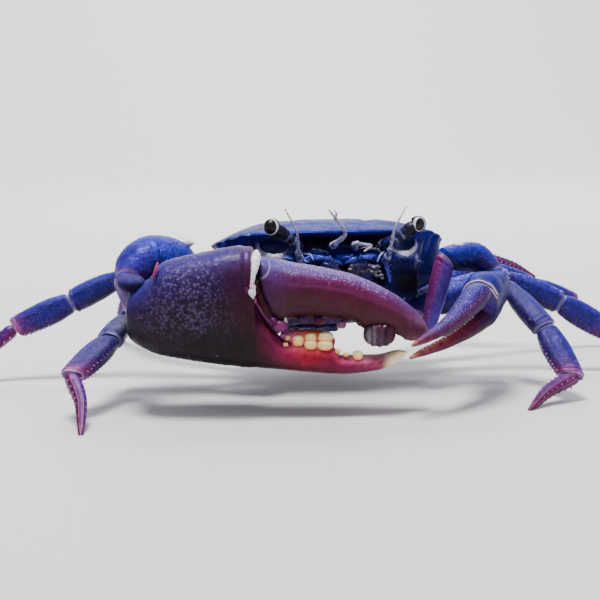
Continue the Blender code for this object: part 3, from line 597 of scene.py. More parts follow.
def carapaceOutline():
    half = []
    corners = carapace["outline"]
    for (x0, y0, bulge), (x1, y1, _) in zip(corners, corners[1:]):
        length = math.hypot(x1 - x0, y1 - y0)
        steps = max(2, round(length * carapace["stepsPerMm"]))
        for i in range(steps):
            t = i / steps
            sag = 4 * t * (1 - t) * bulge / length
            half.append((x0 + (x1 - x0) * t - (y0 - y1) * sag, y0 + (y1 - y0) * t - (x1 - x0) * sag))
    half.append(corners[-1][:2])
    return np.array([(-x, y) for x, y in reversed(half)] + half[1:-1])


def softened(margin):
    count = len(margin)
    reach = count // 22
    shares = peak(np.arange(-reach, reach + 1), 0.55 * reach)
    soft = sum(w * np.roll(margin, -k, 0) for k, w in zip(range(-reach, reach + 1), shares))
    return soft / shares.sum()


def regions(x, y):
    # swellings and grooves of the back
    side = np.abs(x)
    lift = sum(rise * hill(side, y, *place) for rise, *place in carapace["swellings"])
    groove = 6.3 + 2.4 * np.cos((y + 3.0) / 4.6)
    lift -= 0.32 * peak(side - groove, 1.3) * ramp(y, -12.0, -8.0) * (1 - ramp(y, 2.5, 6.0))
    lift -= 0.40 * hill(x, y, 0.0, 3.6, 5.0, 0.9)
    return lift


face = {
    "orbit": (13.8, -1.15, 3.15, 2.5),  # middle of the orbit across and up, and its half sizes
    "orbitDepth": 2.4,
    "orbitRim": 0.3,
    # rounded lobes below the orbits and above the mouth: across, up, half sizes, lift
    "lobes": (
        (1.5, -4.0, 0.75, 0.6, 0.45), (3.3, -4.5, 0.85, 0.6, 0.5), (5.3, -4.3, 0.9, 0.7, 0.55),
        (7.2, -4.7, 0.8, 0.7, 0.5), (7.4, -2.7, 0.75, 0.8, 0.55), (9.0, -3.9, 0.8, 0.8, 0.6),
        (9.9, -2.4, 0.6, 0.8, 0.45), (10.8, -4.3, 0.8, 0.6, 0.4), (12.6, -4.7, 0.9, 0.5, 0.35),
        (14.6, -4.9, 0.9, 0.5, 0.35), (16.5, -4.6, 0.9, 0.6, 0.35),
    ),
    "ribs": (17.0, 18.3, 19.6, 20.9),
    "hollows": (  # painted shade in these hollows: across, up, half sizes
        (4.5, -0.7, 6.2, 1.7), (15.4, -9.4, 4.0, 2.6), (4.0, -7.6, 4.6, 1.6),
    ),
    # crescent of white lining in each orbit: its two ends round the orbit in degrees, and its width along it
    "crescent": (192, 378),
    "crescentWidth": ((0, 0.14), (0.15, 0.40), (0.42, 0.72), (0.65, 0.70), (0.85, 0.40), (1, 0.10)),
    # raised bands on the face: paint, half width, distance out of the face, and the path across and up
    "bands": (
        ("blue", 0.62, 0.0,
         ((-8.3, -4.3), (-6.6, -3.7), (-4.7, -3.9), (-2.6, -4.3), (-1.0, -4.9), (0.1, -5.3))),
        ("blue", 0.60, 0.0, ((0.1, -5.3), (1.5, -4.7), (3.2, -4.1), (5.1, -3.9), (7.0, -3.7))),
        ("blue", 0.50, 0.2, ((8.5, -4.6), (9.4, -6.6), (10.1, -8.8))),
        ("blue", 0.30, 0.0, ((-9.4, -3.2), (-7.6, -3.0), (-5.6, -2.6), (-3.6, -2.6))),
        # the two thin pale lines above the blue band: the first is a painted glint line
        ("pale", 0.12, 0.1, ((-8.3, -2.5), (-5.5, -2.1), (-2.6, -2.7))),
        ("pale", 0.14, 0.1, ((3.0, -2.4), (5.5, -1.8), (7.4, -2.6))),
        # whitish chains below the feeler roots, partly painted glints
        ("pale", 0.22, 0.9, ((-8.6, -0.8), (-9.4, -2.0), (-8.4, -2.9), (-9.0, -3.9), (-7.7, -4.7))),
        ("pale", 0.17, 0.9, ((-8.4, -2.9), (-7.0, -3.2), (-6.4, -4.2))),
        ("pale", 0.24, 0.9, ((9.5, 0.0), (8.0, -1.0), (9.0, -2.4), (7.8, -3.7), (7.0, -4.9))),
        ("pale", 0.20, 0.9, ((5.9, -2.1), (7.2, -2.2), (8.2, -3.0))),
    ),
    "bandShape": ((0, 0.6, 0.6), (0.3, 1, 1), (0.6, 0.85, 0.85), (0.8, 1, 1), (1, 0.6, 0.6)),
    # wet lumps: across, up, how far forward, half spread across and up, number, largest half size;
    # the dots lie on the face and so have no third value
    "lumps": (
        (2.4, -6.1, -18.3, 1.4, 0.7, 10, 0.62), (5.2, -6.4, -18.5, 1.7, 0.8, 16, 0.66),
        (7.2, -7.6, -18.4, 0.9, 1.1, 12, 0.52), (-3.6, -6.2, -18.2, 2.2, 0.6, 8, 0.6),
    ),
    # dots: the rows along the blue band and down the right ridge are painted glints, the rest pale specks
    "dots": (
        (18.3, -5.4, 1.6, 0.7, 12, 0.20), (8.6, -1.6, 0.9, 1.0, 6, 0.26), (-8.9, -2.4, 0.7, 1.1, 5, 0.26),
        (-5.0, -3.4, 2.6, 0.3, 8, 0.20), (4.4, -3.6, 2.6, 0.3, 8, 0.20), (9.8, -6.8, 0.4, 1.8, 8, 0.20),
    ),
}
wall = {}  # the front wall's points, for what lies on it


def faceRelief(x, z, facing, wallPoints):
    # outward lift of the front wall, its pale rim and painted light, and its painted shade in the hollows
    side = np.abs(x)
    atX, atZ, halfX, halfZ = face["orbit"]
    bowl = np.hypot((side - atX) / halfX, (z - atZ) / halfZ)
    lift = -face["orbitDepth"] * (1 - ramp(bowl, 0.35, 1.02)) * facing
    rim = peak(bowl - 1.12, 0.15) * ramp(-z, 0.0, 1.2) * facing
    lift += face["orbitRim"] * rim
    for lobeX, lobeZ, wide, high, rise in face["lobes"]:
        lift += rise * hill(side, z, lobeX, lobeZ, wide, high, 3) * facing
    lift -= 0.9 * hill(side, z, 3.2, -1.6, 2.4, 0.9, 3) * facing  # where the small feelers fold away
    ribbed = hill(0, z, 0, -3.4, 1, 2.7, 4) * ramp(facing, 0.0, 0.1)
    ribPlaces = [side - rib - 0.15 * (z + 3) for rib in face["ribs"]]
    for place in ribPlaces:
        lift += 0.6 * peak(place, 0.38) * ribbed
    lift += 0.25 * hill(side, z, 13.2, -5.6, 3.2, 0.5) * facing  # the ridge below the orbit
    lift -= 0.5 * hill(side, z, 13.5, -7.6, 3.0, 1.2) * facing
    lift += layers(wallPoints, (0.16, 0.8, 2.0), (0.08, 0.4, 5.0)) * facing * ramp(-z, 2.6, 3.6)
    inside = 1 - ramp(bowl, 0.7, 1.0)
    # the orbit rim's white, and painted light inside the orbit, paler lower down
    pale = 0.25 * rim + inside * facing * (0.10 + 0.34 * ramp(atZ - z, -0.6, 2.0))
    # painted light that brightens the shaded cheek
    pale += 0.10 * hill(side, z, 19.4, -3.0, 2.6, 2.4) * (1 - inside) * ramp(facing, 0.0, 0.1)
    # painted highlights along the ribs
    pale += 0.34 * sum(peak(place, 0.30) for place in ribPlaces) * ribbed
    # painted shade darkening the hollows
    dark = sum(hill(side, z, *hollow, 4) for hollow in face["hollows"]) * (1 - inside)
    return lift, pale, np.clip(dark * facing, 0, 0.92)


def onFace(x, z, out=0.0):
    # the place on the front wall nearest to x and z of the body frame, moved out of it
    nearest = np.argmin((wall["body"][:, 0] - x) ** 2 + (wall["body"][:, 2] - z) ** 2)
    return wall["stance"][nearest] + np.array((0.0, -out, 0.15 * out))


def makeCarapace(surface):
    margin = carapaceOutline()
    soft = softened(margin)
    x, y = margin[:, 0], margin[:, 1]
    softX, softY = soft[:, 0], soft[:, 1]
    marginHeight = smoothCurve(*np.array(carapace["marginHeights"]).T, y)
    side = np.array(carapace["sideWall"])
    front = np.array(carapace["faceWall"])
    steps = np.linspace(0, 1, len(side))
    facing = (1 - ramp(np.abs(x), 16.8, 20.5)) * (1 - ramp(y, -14.5, -9.0))
    rings = []
    high = []
    pale = []
    dark = []
    body = []
    share = np.linspace(1, 0, carapace["wallRings"], endpoint=False)
    turn = unit(np.stack((softX, softY - carapace["centreY"]), -1)) * (1 - facing)[:, None]
    turn[:, 1] -= facing
    turn = unit(turn)
    for s in share:
        sideIn, sideDown = smoothCurve(steps, side, np.array((s,)))[0]
        faceIn, faceDown = smoothCurve(steps, front, np.array((s,)))[0]
        faceIn = faceIn - carapace["cheekStep"] * ramp(s, 0.72, 0.86) * ramp(np.abs(x), 8.3, 9.3)
        wayIn = sideIn + (faceIn - sideIn) * facing
        fullness = carapace["fullness"] * hill(np.abs(x), y, *carapace["fullAt"])
        wayIn = wayIn * (1 - fullness * (1 - ramp(s, 0.6, 0.9)))
        down = sideDown + (faceDown - sideDown) * facing
        edge = ramp(s, 0.0, 0.45)
        height = marginHeight - down * (marginHeight - carapace["floor"])
        wallPoints = np.stack((x, 0 * x, height), -1)
        lift, white, black = faceRelief(x, height, facing, wallPoints)
        fade = ramp(s, 0.0, 0.06)
        wayIn = wayIn - lift * fade
        placeX = x + (softX - x) * edge - turn[:, 0] * wayIn
        placeY = y + (softY - y) * edge - turn[:, 1] * wayIn
        body.append(np.stack((placeX, placeY, height), -1))
        rings.append(fromBody(body[-1]))
        high.append(np.full(len(x), -s))
        pale.append(white * fade)
        dark.append(black * fade)
    for rho in np.cos(np.linspace(0, math.pi / 2, carapace["domeRings"], endpoint=False)):
        edge = rho**7
        placeX = (softX + (x - softX) * edge) * rho
        placeY = carapace["centreY"] + (softY + (y - softY) * edge - carapace["centreY"]) * rho
        dome = carapace["dome"] * (1 - rho**2.4) ** 0.85 + marginHeight * rho**2
        bead = 0.16 * peak(rho - 0.982, 0.012)
        height = dome + regions(placeX, placeY) * (1 - rho**6) + bead
        rings.append(fromBody(np.stack((placeX, placeY, height), -1)))
        high.append(np.full(len(x), 1 - rho))
        pale.append(0 * x)
        dark.append(0 * x)
    points = np.array(rings)
    body = np.concatenate(body)
    front = (body[:, 1] < -8) & (np.abs(body[:, 0]) < 23)
    wall["body"] = body[front]
    wall["stance"] = fromBody(body[front])
    # the solid carapace says where the stance frame lies in the model's
    low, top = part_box("carapace")
    middle = (points.reshape(-1, 3).min(0) + points.reshape(-1, 3).max(0)) / 2
    stance["moved"][:2] = (np.array(low)[:2] + np.array(top)[:2]) / 2 * 1000 - middle[:2]
    print("the stance frame moves by", stance["moved"])
    # shallow wrinkles and pits
    values = {
        "along": np.clip((points[..., 1] + 27) / 40, 0, 1), "high": np.array(high), "pale": np.array(pale),
        "dark": np.array(dark),
    }
    ripple = layers(points, (0.05, 1.1, 0), (0.025, 0.45, 7.3))
    ripple -= 0.05 * (1 - ramp(cellsAt(points, 0.9, 3.1), 0.0, 0.28))
    points = points + gridNormals(points) * (ripple * ramp(np.abs(values["high"]), 0.0, 0.02))[..., None]
    shape = gridShape(points)
    values = {key: np.concatenate((v.ravel(), (v[0].mean(), v[-1].mean()))) for key, v in values.items()}
    made = makeMesh("carapaceShell", shape[0], shape[1], values)
    return finishPiece(made, surface, ["carapace"])


makeCamera()
# blueBack's pale colour is the orbit rim's white and the painted light on the face; its dark colour is the
# painted shade in its hollows
blueBack = makeShell(
    "blueBack", "blue_shell",
    ((0, 36, 38, 120), (0.5, 38, 34, 110), (1, 42, 32, 96)),
    (-0.62, 0.3, (0, 50, 60, 196), (0.5, 46, 48, 160), (1, 46, 38, 124)),
    (-0.04, 0.1, (0, 56, 68, 196), (0.25, 44, 54, 172), (0.6, 38, 44, 146), (1, 46, 40, 130)),
    speck=(130, 140, 226), speckStrength=0.25, pale=(190, 200, 240), dark=(12, 8, 16), metal=0.30,
    specular=0.12, roughness=(0.40, 0.55), coat=0.05,
)
makeCarapace(blueBack)
makeStudio()
print("carapace made")


# Geometry Nodes for what repeats
def newTree(name, inputs):
    # a tree with named inputs, and its group input and output nodes
    tree = bpy.data.node_groups.new(name, "GeometryNodeTree")
    tree.interface.new_socket(name="Geometry", in_out="INPUT", socket_type="NodeSocketGeometry")
    for label, kind in inputs:
        tree.interface.new_socket(name=label, in_out="INPUT", socket_type=kind)
    tree.interface.new_socket(name="Geometry", in_out="OUTPUT", socket_type="NodeSocketGeometry")
    return tree, tree.nodes.new("NodeGroupInput"), tree.nodes.new("NodeGroupOutput")


def runTree(name, made, tree, settings):
    # the tree's result on an object, as a plain mesh object of its own
    modifier = made.modifiers.new("repeat", "NODES")
    modifier.node_group = tree
    for item in tree.interface.items_tree:
        if item.in_out == "INPUT" and item.name in settings:
            modifier[item.identifier] = settings[item.name]
    graph = bpy.context.evaluated_depsgraph_get()
    mesh = bpy.data.meshes.new_from_object(made.evaluated_get(graph))
    made.modifiers.remove(modifier)
    mesh.name = name
    return addObject(name, mesh)


def makeGrainTree():
    # low beads scattered over a surface, as densely as its "grain" value says
    inputs = (
        ("Beads per mm2", "NodeSocketFloat"), ("Smallest", "NodeSocketFloat"), ("Largest", "NodeSocketFloat"),
        ("Height", "NodeSocketFloat"), ("Seed", "NodeSocketInt"), ("Material", "NodeSocketMaterial"),
    )
    tree, start, end = newTree("grainTree", inputs)
    grain = addNode(tree, "GeometryNodeInputNamedAttribute", {"Name": "grain"}, data_type="FLOAT")
    density = multiply(tree, start.outputs["Beads per mm2"], 1e6, grain.outputs["Attribute"])
    spread = addNode(tree, "GeometryNodeDistributePointsOnFaces", {
        "Mesh": start.outputs["Geometry"], "Density": density, "Seed": start.outputs["Seed"],
    })
    size = addNode(tree, "FunctionNodeRandomValue", {
        2: start.outputs["Smallest"], 3: start.outputs["Largest"], 8: start.outputs["Seed"],
    }, data_type="FLOAT")
    flat = multiply(tree, size.outputs[1], start.outputs["Height"])
    scale = addNode(tree, "ShaderNodeCombineXYZ", {0: size.outputs[1], 1: size.outputs[1], 2: flat})
    bead = addNode(tree, "GeometryNodeMeshUVSphere", {"Radius": 0.001, "Segments": 8, "Rings": 5})
    put = addNode(tree, "GeometryNodeInstanceOnPoints", {
        "Points": spread.outputs["Points"], "Instance": bead.outputs["Mesh"],
        "Rotation": spread.outputs["Rotation"], "Scale": scale.outputs[0],
    })
    finishTree(tree, start, end, put)
    return tree


def makeThornTree():
    # cones on points, each along its "way" and as large as its "size"
    inputs = (
        ("Length", "NodeSocketFloat"), ("Radius", "NodeSocketFloat"), ("Sides", "NodeSocketInt"),
        ("Material", "NodeSocketMaterial"),
    )
    tree, start, end = newTree("thornTree", inputs)
    way = addNode(tree, "GeometryNodeInputNamedAttribute", {"Name": "way"}, data_type="FLOAT_VECTOR")
    size = addNode(tree, "GeometryNodeInputNamedAttribute", {"Name": "size"}, data_type="FLOAT")
    turn = addNode(tree, "FunctionNodeAlignRotationToVector", {"Vector": way.outputs["Attribute"]}, axis="Z")
    cone = addNode(tree, "GeometryNodeMeshCone", {
        "Vertices": start.outputs["Sides"], "Side Segments": 3, "Radius Top": 0.00001,
        "Radius Bottom": start.outputs["Radius"], "Depth": start.outputs["Length"],
    })
    points = addNode(tree, "GeometryNodeMeshToPoints", {"Mesh": start.outputs["Geometry"]})
    put = addNode(tree, "GeometryNodeInstanceOnPoints", {
        "Points": points.outputs["Points"], "Instance": cone.outputs["Mesh"],
        "Rotation": turn.outputs["Rotation"], "Scale": size.outputs["Attribute"],
    })
    finishTree(tree, start, end, put)
    return tree


def finishTree(tree, start, end, put):
    real = addNode(tree, "GeometryNodeRealizeInstances", {"Geometry": put.outputs["Instances"]})
    smooth = addNode(tree, "GeometryNodeSetShadeSmooth", {"Geometry": real.outputs["Geometry"]})
    paint = addNode(tree, "GeometryNodeSetMaterial", {
        "Geometry": smooth.outputs["Geometry"], "Material": start.outputs["Material"],
    })
    tree.links.new(paint.outputs["Geometry"], end.inputs["Geometry"])


grainTree = makeGrainTree()
thornTree = makeThornTree()


def addGrains(made, surface, density, smallest, largest, height=0.6, seed=1, name=None):
    # beads of smallest to largest radius in millimetres, and their height as a share of it
    settings = {
        "Beads per mm2": density, "Smallest": smallest, "Largest": largest, "Height": height,
        "Seed": seed, "Material": surface,
    }
    return finishPiece(runTree(name or made.name + "Grains", made, grainTree, settings), surface)


def addThorns(name, rows, surface, length, radius, sides, floor=0.0):
    # rows: (places, ways, sizes) of groups of thorns, in stance millimetres; none start below the floor given
    places, ways, sizes = (np.concatenate(group) for group in zip(*rows))
    kept = places[:, 2] > floor
    base = bpy.data.meshes.new(name + "Points")
    base.from_pydata(placed(places[kept]).tolist(), [], [])
    base.attributes.new("way", "FLOAT_VECTOR", "POINT").data.foreach_set("vector", ways[kept].ravel())
    base.attributes.new("size", "FLOAT", "POINT").data.foreach_set("value", sizes[kept])
    made = addObject(name + "Points", base)
    settings = {"Length": length * 0.001, "Radius": radius * 0.001, "Sides": sides, "Material": surface}
    result = runTree(name, made, thornTree, settings)
    bpy.data.objects.remove(made)
    return finishPiece(result, surface)


# Large claw
largeClaw = {
    "origin": np.array((-46.0, -24.0, 20.7)),
    "along": np.array((0.978, -0.208, 0.0)),
    # along, lower edge, upper edge, half thickness, and any shift to the front
    "palm": (
        (1.7, -2.4, 1.6, 2.4, -1.4), (2.3, -5.6, 3.4, 4.2, -0.8), (6.4, -8.0, 6.3, 5.8, -0.2),
        (8.0, -8.6, 8.6, 6.1), (10.0, -9.0, 9.7, 6.3), (15.8, -10.0, 11.0, 6.7), (24.0, -11.0, 12.4, 6.4),
        (25.9, -11.1, 12.1, 6.0), (26.5, -11.1, 10.6, 5.6), (26.8, -11.1, 4.6, 5.2),
        (27.3, -11.2, 1.5, 4.9), (29.4, -11.3, -2.6, 4.6), (31.6, -11.5, -5.4, 4.4),
        (41.0, -12.3, -6.6, 3.7), (43.0, -12.4, -8.9, 3.3), (50.0, -11.7, -8.7, 2.4),
        (54.0, -9.9, -7.8, 1.3), (55.4, -8.7, -8.0, 0.5),
    ),
    "finger": (
        (27.1, 7.0, 9.4, 2.0), (27.5, 4.2, 10.3, 3.4), (28.1, 1.2, 10.3, 4.0), (30.0, -2.4, 10.0, 4.4),
        (31.6, -2.9, 9.7, 4.5), (33.6, -1.5, 9.2, 4.6), (38.0, -1.3, 8.5, 4.5), (45.0, -2.1, 6.9, 4.0),
        (47.6, -3.6, 5.9, 3.7), (52.6, -4.3, 3.4, 3.0, -0.4), (56.0, -6.0, 1.0, 2.3, -0.9),
        (58.6, -6.3, -1.8, 1.5, -1.4), (60.0, -6.1, -4.4, 0.7, -1.8),
    ),
    # lobes of the molars: along, up, to the front, half length, half height, half thickness
    "molars": (
        (34.7, -5.6, 2.0, 1.12, 1.18, 1.3), (33.7, -4.6, 1.4, 0.6, 0.5, 0.8),
        (37.1, -4.95, 1.8, 1.28, 0.92, 1.4), (37.1, -6.3, 2.3, 1.25, 0.95, 1.4),
        (39.9, -4.9, 1.8, 1.56, 1.0, 1.5), (39.8, -6.4, 2.3, 1.5, 1.0, 1.5),
    ),
    "smallMolars": (
        (32.7, -5.0, 2.2, 0.50, 0.50, 0.50), (32.3, -6.2, 2.9, 0.50, 0.50, 0.45),
        (33.1, -7.4, 3.3, 0.40, 0.40, 0.35), (42.3, -7.6, 2.2, 0.55, 0.50, 0.60),
        (43.8, -8.3, 2.0, 0.50, 0.42, 0.55), (46.1, -8.5, 1.7, 1.0, 0.90, 1.10),
    ),
    "tooth": (50.2, -4.4, 1.9, 3.1, 2.35, 1.9),
    "stubs": (
        (35.4, -1.7, 1.6, 0.8, 0.8, 1.0), (38.6, -1.9, 1.8, 1.0, 0.8, 1.2), (43.0, -2.5, 1.5, 0.9, 0.8, 1.1),
    ),
    "shoulder": (2.9, 5.2, 2.8, 3.0, 1.7),
    "neckRoot": (5.5, 0.5),
    "gumPath": ((31.6, -4.4, 1.0), (34.0, -5.1, 1.3), (38.0, -5.3, 1.3), (41.4, -6.4, 1.1)),
    "gum": (
        (0, -1.2, 1.2, 1.0), (0.3, -1.2, 1.3, 1.55), (0.7, -1.3, 1.4, 1.7), (1, -1.1, 1.1, 1.1),
    ),
    "foldPath": ((26.6, 5.5, 1.5), (28.4, 0.4, 1.5), (31.0, -3.8, 1.5)),
    "fold": ((0, -2.6, 2.2, 1.2), (0.5, -2.8, 2.4, 1.5), (1, -2.2, 2.0, 1.2)),
}
arms = {
    "right": ((-11.5, -11.2, 16.2), (-17.2, -15.6, 15.3), (-29.4, -11.4, 23.4), (-43.6, -15.4, 24.8)),
    "left": ((11.5, -11.0, 16.5), (18.8, -17.4, 14.2), (22.2, -17.3, 27.9), (33.0, -16.8, 24.9)),
}
armBends = {"right": (-37.2, -9.6, 26.6), "left": (28.4, -15.8, 28.3)}
armScale = {"right": 1.15, "left": 0.75}
clawFront = np.cross(largeClaw["along"], level)


def inClaw(along, up, front=0.0):
    # a place from the large claw's own plane
    return largeClaw["origin"] + largeClaw["along"] * along + level * up + clawFront * front


def clawPlace(points):
    # how far along, up and to the front of the large claw's plane each point is
    local = points - largeClaw["origin"]
    return local @ largeClaw["along"], local[..., 2], local @ clawFront


def clawLimb(table, squareness):
    return Limb((inClaw(table[0][0], 0), inClaw(table[-1][0], 0)), level, table, squareness=squareness)


def clawBall(place, radii, *detail):
    return ball(inClaw(*place), (largeClaw["along"], clawFront, level), radii, *detail)


def clawBalls(table):
    return [clawBall(place, (half, thick, high), 28, 20, 0.82) for *place, half, high, thick in table]


def clawStrip(path, sections):
    return Limb([inClaw(*place) for place in path], clawFront, sections)


def palmRelief(points, t, angle):
    along, up, front = clawPlace(points)
    rough = ramp(along, 3, 6) * (1 - ramp(along, 24.5, 27))
    lift = layers(points, (0.05, 2.2, 0), (0.02, 0.6, 4.0))
    lift += 0.09 * (1 - ramp(cellsAt(points, 1.25, 2.0), 0, 0.55)) * rough
    lift -= 0.16 * peak(along - 24.6, 0.5) * ramp(up, 2, 5)  # the groove before the hinge
    lift -= 0.3 * hill(up, along, -0.6 - 0.9 * (along - 27), 29, 0.5, 3.5) * ramp(front, 1, 3)
    dots = hill(along, up, 13.5, 6.6, 5.5, 3.4, 3) * ramp(front, 1, 3.5)
    net = hill(along, up, 12.5, 0.6, 8.5, 4.4, 3) * ramp(front, 1, 3.5)
    rim = peak(along - 26.2, 0.28) * ramp(up, 5, 7)
    # a painted highlight: a pale line along the top edge of the fixed finger
    edge = ramp(np.sin(angle), 0.75, 0.97) * ramp(along, 43, 45)
    return lift, {
        "pale": 0.2 * rim + np.maximum(ramp(along, 50.5, 53.0), 0.12 * edge),
        "grain": dots + 0.012 * rough,
        "net": 0.45 * net,
        "speck": np.maximum(dots, 0.4 * net),
    }


def fingerRelief(points, t, angle):
    along, up, front = clawPlace(points)
    lift = layers(points, (0.05, 2.6, 5.0), (0.015, 0.5, 8.0))
    biting = ramp(-np.sin(angle), 0.75, 0.95)
    lift += 0.28 * biting * noiseAt(points, 0.9, 3.0) * ramp(along, 32, 34)
    top = ramp(np.sin(angle), 0.45, 0.95)
    lift -= 0.22 * hill(np.sin(angle), 0, 0.35, 0, 0.10, 1) * ramp(along, 30, 34) * (1 - ramp(along, 54, 58))
    bow = np.hypot(along - 26.7, up - 9.0)
    arc = peak(bow - 2.6, 0.13) * ramp(front, 0.5, 2)
    lift -= 0.25 * arc
    return lift, {"pale": 0.5 * arc, "grain": top * ramp(along, 29, 32) * (1 - ramp(along, 46, 57))}


def wristWays(side):
    wrist = np.array(arms[side][3])
    inside = inClaw(*largeClaw["neckRoot"]) if side == "right" else np.array(smallClaw["palmPath"][1])
    return unit(wrist - np.array(armBends[side])), unit(inside - wrist)


def taper(halfDeep, halfHigh, shape, scale=1.0):
    # sections of a limb from its half depth and half height, and their shares along it
    return [(t, -high * halfHigh * scale, high * halfHigh * scale, deep * halfDeep * scale)
            for t, deep, high in shape]


armPaint = makeShell(
    "armPaint", "violet_shell",
    ((0, 92, 36, 124), (0.5, 104, 38, 128), (1, 110, 44, 130)),
    (-0.2, 0.6, (0, 84, 42, 144), (0.5, 96, 44, 150), (1, 116, 54, 156)),
    (0.6, 0.5, (0, 76, 56, 178), (0.5, 98, 56, 176), (1, 170, 76, 164)),
    speck=(160, 110, 200), speckStrength=0.25, specular=0.15,
)
smallArmPaint = makeShell(
    "smallArmPaint", "violet_shell",
    ((0, 142, 62, 160), (0.5, 156, 64, 160), (1, 170, 72, 160)),
    (-0.4, 0.7, (0, 98, 72, 190), (0.5, 106, 74, 190), (1, 124, 80, 194)),
    (0.6, 0.5, (0, 96, 86, 216), (0.5, 104, 88, 214), (1, 180, 110, 204)),
    speck=(190, 140, 220), speckStrength=0.3, specular=0.2, mottle=0.2,
)
palmPaint = makeShell(
    "palmPaint", "violet_shell",
    ((0, 34, 20, 38), (0.4, 34, 16, 30), (0.52, 66, 22, 42), (0.62, 112, 28, 56), (0.74, 120, 32, 74),
     (0.97, 160, 62, 104), (0.995, 220, 170, 156)),
    (-0.3, 0.5, (0, 50, 34, 68), (0.3, 50, 26, 52), (0.46, 74, 24, 48), (0.56, 150, 38, 92),
     (0.64, 184, 42, 70), (0.72, 158, 36, 80), (0.8, 150, 38, 98), (0.945, 206, 96, 136),
     (0.982, 240, 214, 190)),
    (0.32, 0.6, (0, 68, 52, 130), (0.3, 68, 40, 100), (0.42, 80, 34, 80), (0.47, 94, 32, 72),
     (0.56, 180, 54, 110), (0.66, 220, 72, 86), (0.76, 208, 72, 122), (0.94, 244, 150, 190),
     (0.976, 255, 246, 218)),
    (0.75, 0.4, (0, 74, 66, 168), (0.35, 84, 60, 156), (0.46, 98, 52, 120), (0.54, 160, 66, 128),
     (0.66, 228, 96, 108), (0.76, 226, 104, 146), (0.92, 250, 178, 208), (0.968, 255, 248, 224)),
    pale=(254, 234, 184), speck=(116, 98, 152), speckMasked=True, speckSize=0.8, speckShare=0.44,
    speckStrength=0.6, net=(92, 74, 112), netSize=1.0, grainDepth=0.05, metal=0.05, specular=0.14,
    mottle=0.2,
)
fingerPaint = makeShell(
    "fingerPaint", "magenta_shell",
    ((0, 84, 34, 72), (0.2, 76, 24, 44), (0.55, 74, 22, 38), (0.8, 86, 30, 52), (1, 170, 110, 136)),
    (-0.45, 0.5, (0, 88, 46, 100), (0.2, 94, 28, 58), (0.6, 98, 26, 52), (0.85, 108, 36, 70),
     (1, 166, 106, 140)),
    (0.25, 0.5, (0, 98, 68, 150), (0.22, 124, 50, 112), (0.6, 134, 46, 104), (0.85, 128, 52, 118),
     (1, 178, 122, 164)),
    (0.72, 0.35, (0, 98, 86, 190), (0.3, 126, 92, 188), (0.7, 134, 88, 178), (0.9, 130, 80, 156),
     (1, 184, 134, 168)),
    pale=(206, 198, 226), grainDepth=0.03, metal=0.05, specular=0.2, mottle=0.18,
)
grainPaint = makeShell(
    "grainPaint", "pale_skin",
    ((0, 176, 158, 206), (1, 184, 164, 212)),
    mottle=0.2, tone=(0.8, 1.0), metal=0.0,
)
brightGrain = makeShell(
    "brightGrain", "pale_skin",
    ((0, 206, 190, 230), (1, 220, 204, 238)),
    mottle=0.2, tone=(0.9, 1.0), metal=0.0,
)
dimGrain = makeShell("dimGrain", "pale_skin", ((0, 112, 98, 150), (1, 104, 88, 138)), mottle=0.3)
blueGrain = makeShell("blueGrain", "blue_shell", ((0, 92, 98, 200), (1, 100, 104, 206)), mottle=0.15)
shoulderPaint = makeShell(
    "shoulderPaint", "violet_shell",
    ((0, 46, 34, 76), (1, 56, 40, 80)),
    (0.2, 0.8, (0, 86, 74, 150), (0.6, 92, 76, 150), (1, 80, 62, 130)),
    grainDepth=0.04, specular=0.08, coat=0.0, roughness=(0.6, 0.7), metal=0.0,
)
molarPaint = makeShell(
    "molarPaint", "pale_skin",
    ((0, 240, 140, 84), (1, 244, 156, 90)),
    (-0.5, 0.8, (0, 252, 206, 130), (1, 254, 214, 140)),
    (0.5, 0.6, (0, 254, 232, 168), (1, 255, 238, 180)),
    mottle=0.08, roughness=(0.25, 0.35), grainDepth=0.012, tone=(1.0, 1.0), metal=0.0,
)
toothPaint = makeShell(
    "toothPaint", "pale_skin",
    ((0, 84, 50, 72), (0.1, 116, 98, 118), (0.18, 158, 146, 164), (0.26, 96, 74, 98), (0.34, 140, 120, 136),
     (0.42, 92, 62, 88), (0.56, 104, 74, 104), (0.68, 62, 36, 60), (0.78, 98, 58, 78), (1, 84, 38, 52)),
    (0.5, 0.8, (0, 84, 34, 56), (0.18, 130, 106, 124), (0.26, 92, 56, 80), (0.34, 128, 100, 122),
     (0.42, 92, 48, 70), (0.56, 98, 54, 82), (0.7, 66, 32, 54), (1, 96, 40, 52)),
    mottle=0.25, mottleSize=0.5, roughness=(0.25, 0.4), grainDepth=0.012, wander=0.1,
)
fleshPaint = makeShell(
    "fleshPaint", "magenta_shell",
    ((0, 150, 50, 120), (0.35, 206, 60, 84), (0.8, 214, 70, 66), (1, 150, 40, 80)),
    (0.2, 0.9, (0, 196, 96, 190), (0.25, 222, 104, 150), (0.45, 238, 130, 100), (0.85, 236, 120, 90),
     (1, 206, 80, 130)),
    mottle=0.15, roughness=(0.25, 0.4), grainDepth=0.015, coat=0.25,
)
whiteSkin = makeShell(
    "whiteSkin", "pale_skin",
    ((0, 226, 222, 236), (0.6, 236, 232, 240), (1, 240, 206, 222)),
    mottle=0.12, roughness=(0.3, 0.45), grainDepth=0.012, tone=(0.95, 1.0),
)
pinkSkin = makeShell(
    "pinkSkin", "pale_skin",
    ((0, 222, 96, 150), (0.5, 170, 60, 130), (1, 130, 48, 112)),
    mottle=0.22, roughness=(0.3, 0.45), grainDepth=0.015,
)
gumPaint = makeShell("gumPaint", "magenta_shell", ((0, 84, 28, 50), (1, 92, 30, 54)), mottle=0.3)
lobePaint = makeShell(
    "lobePaint", "magenta_shell",
    ((0, 150, 64, 132), (0.5, 128, 52, 116), (1, 110, 46, 104)),
    mottle=0.3, grainDepth=0.015,
)


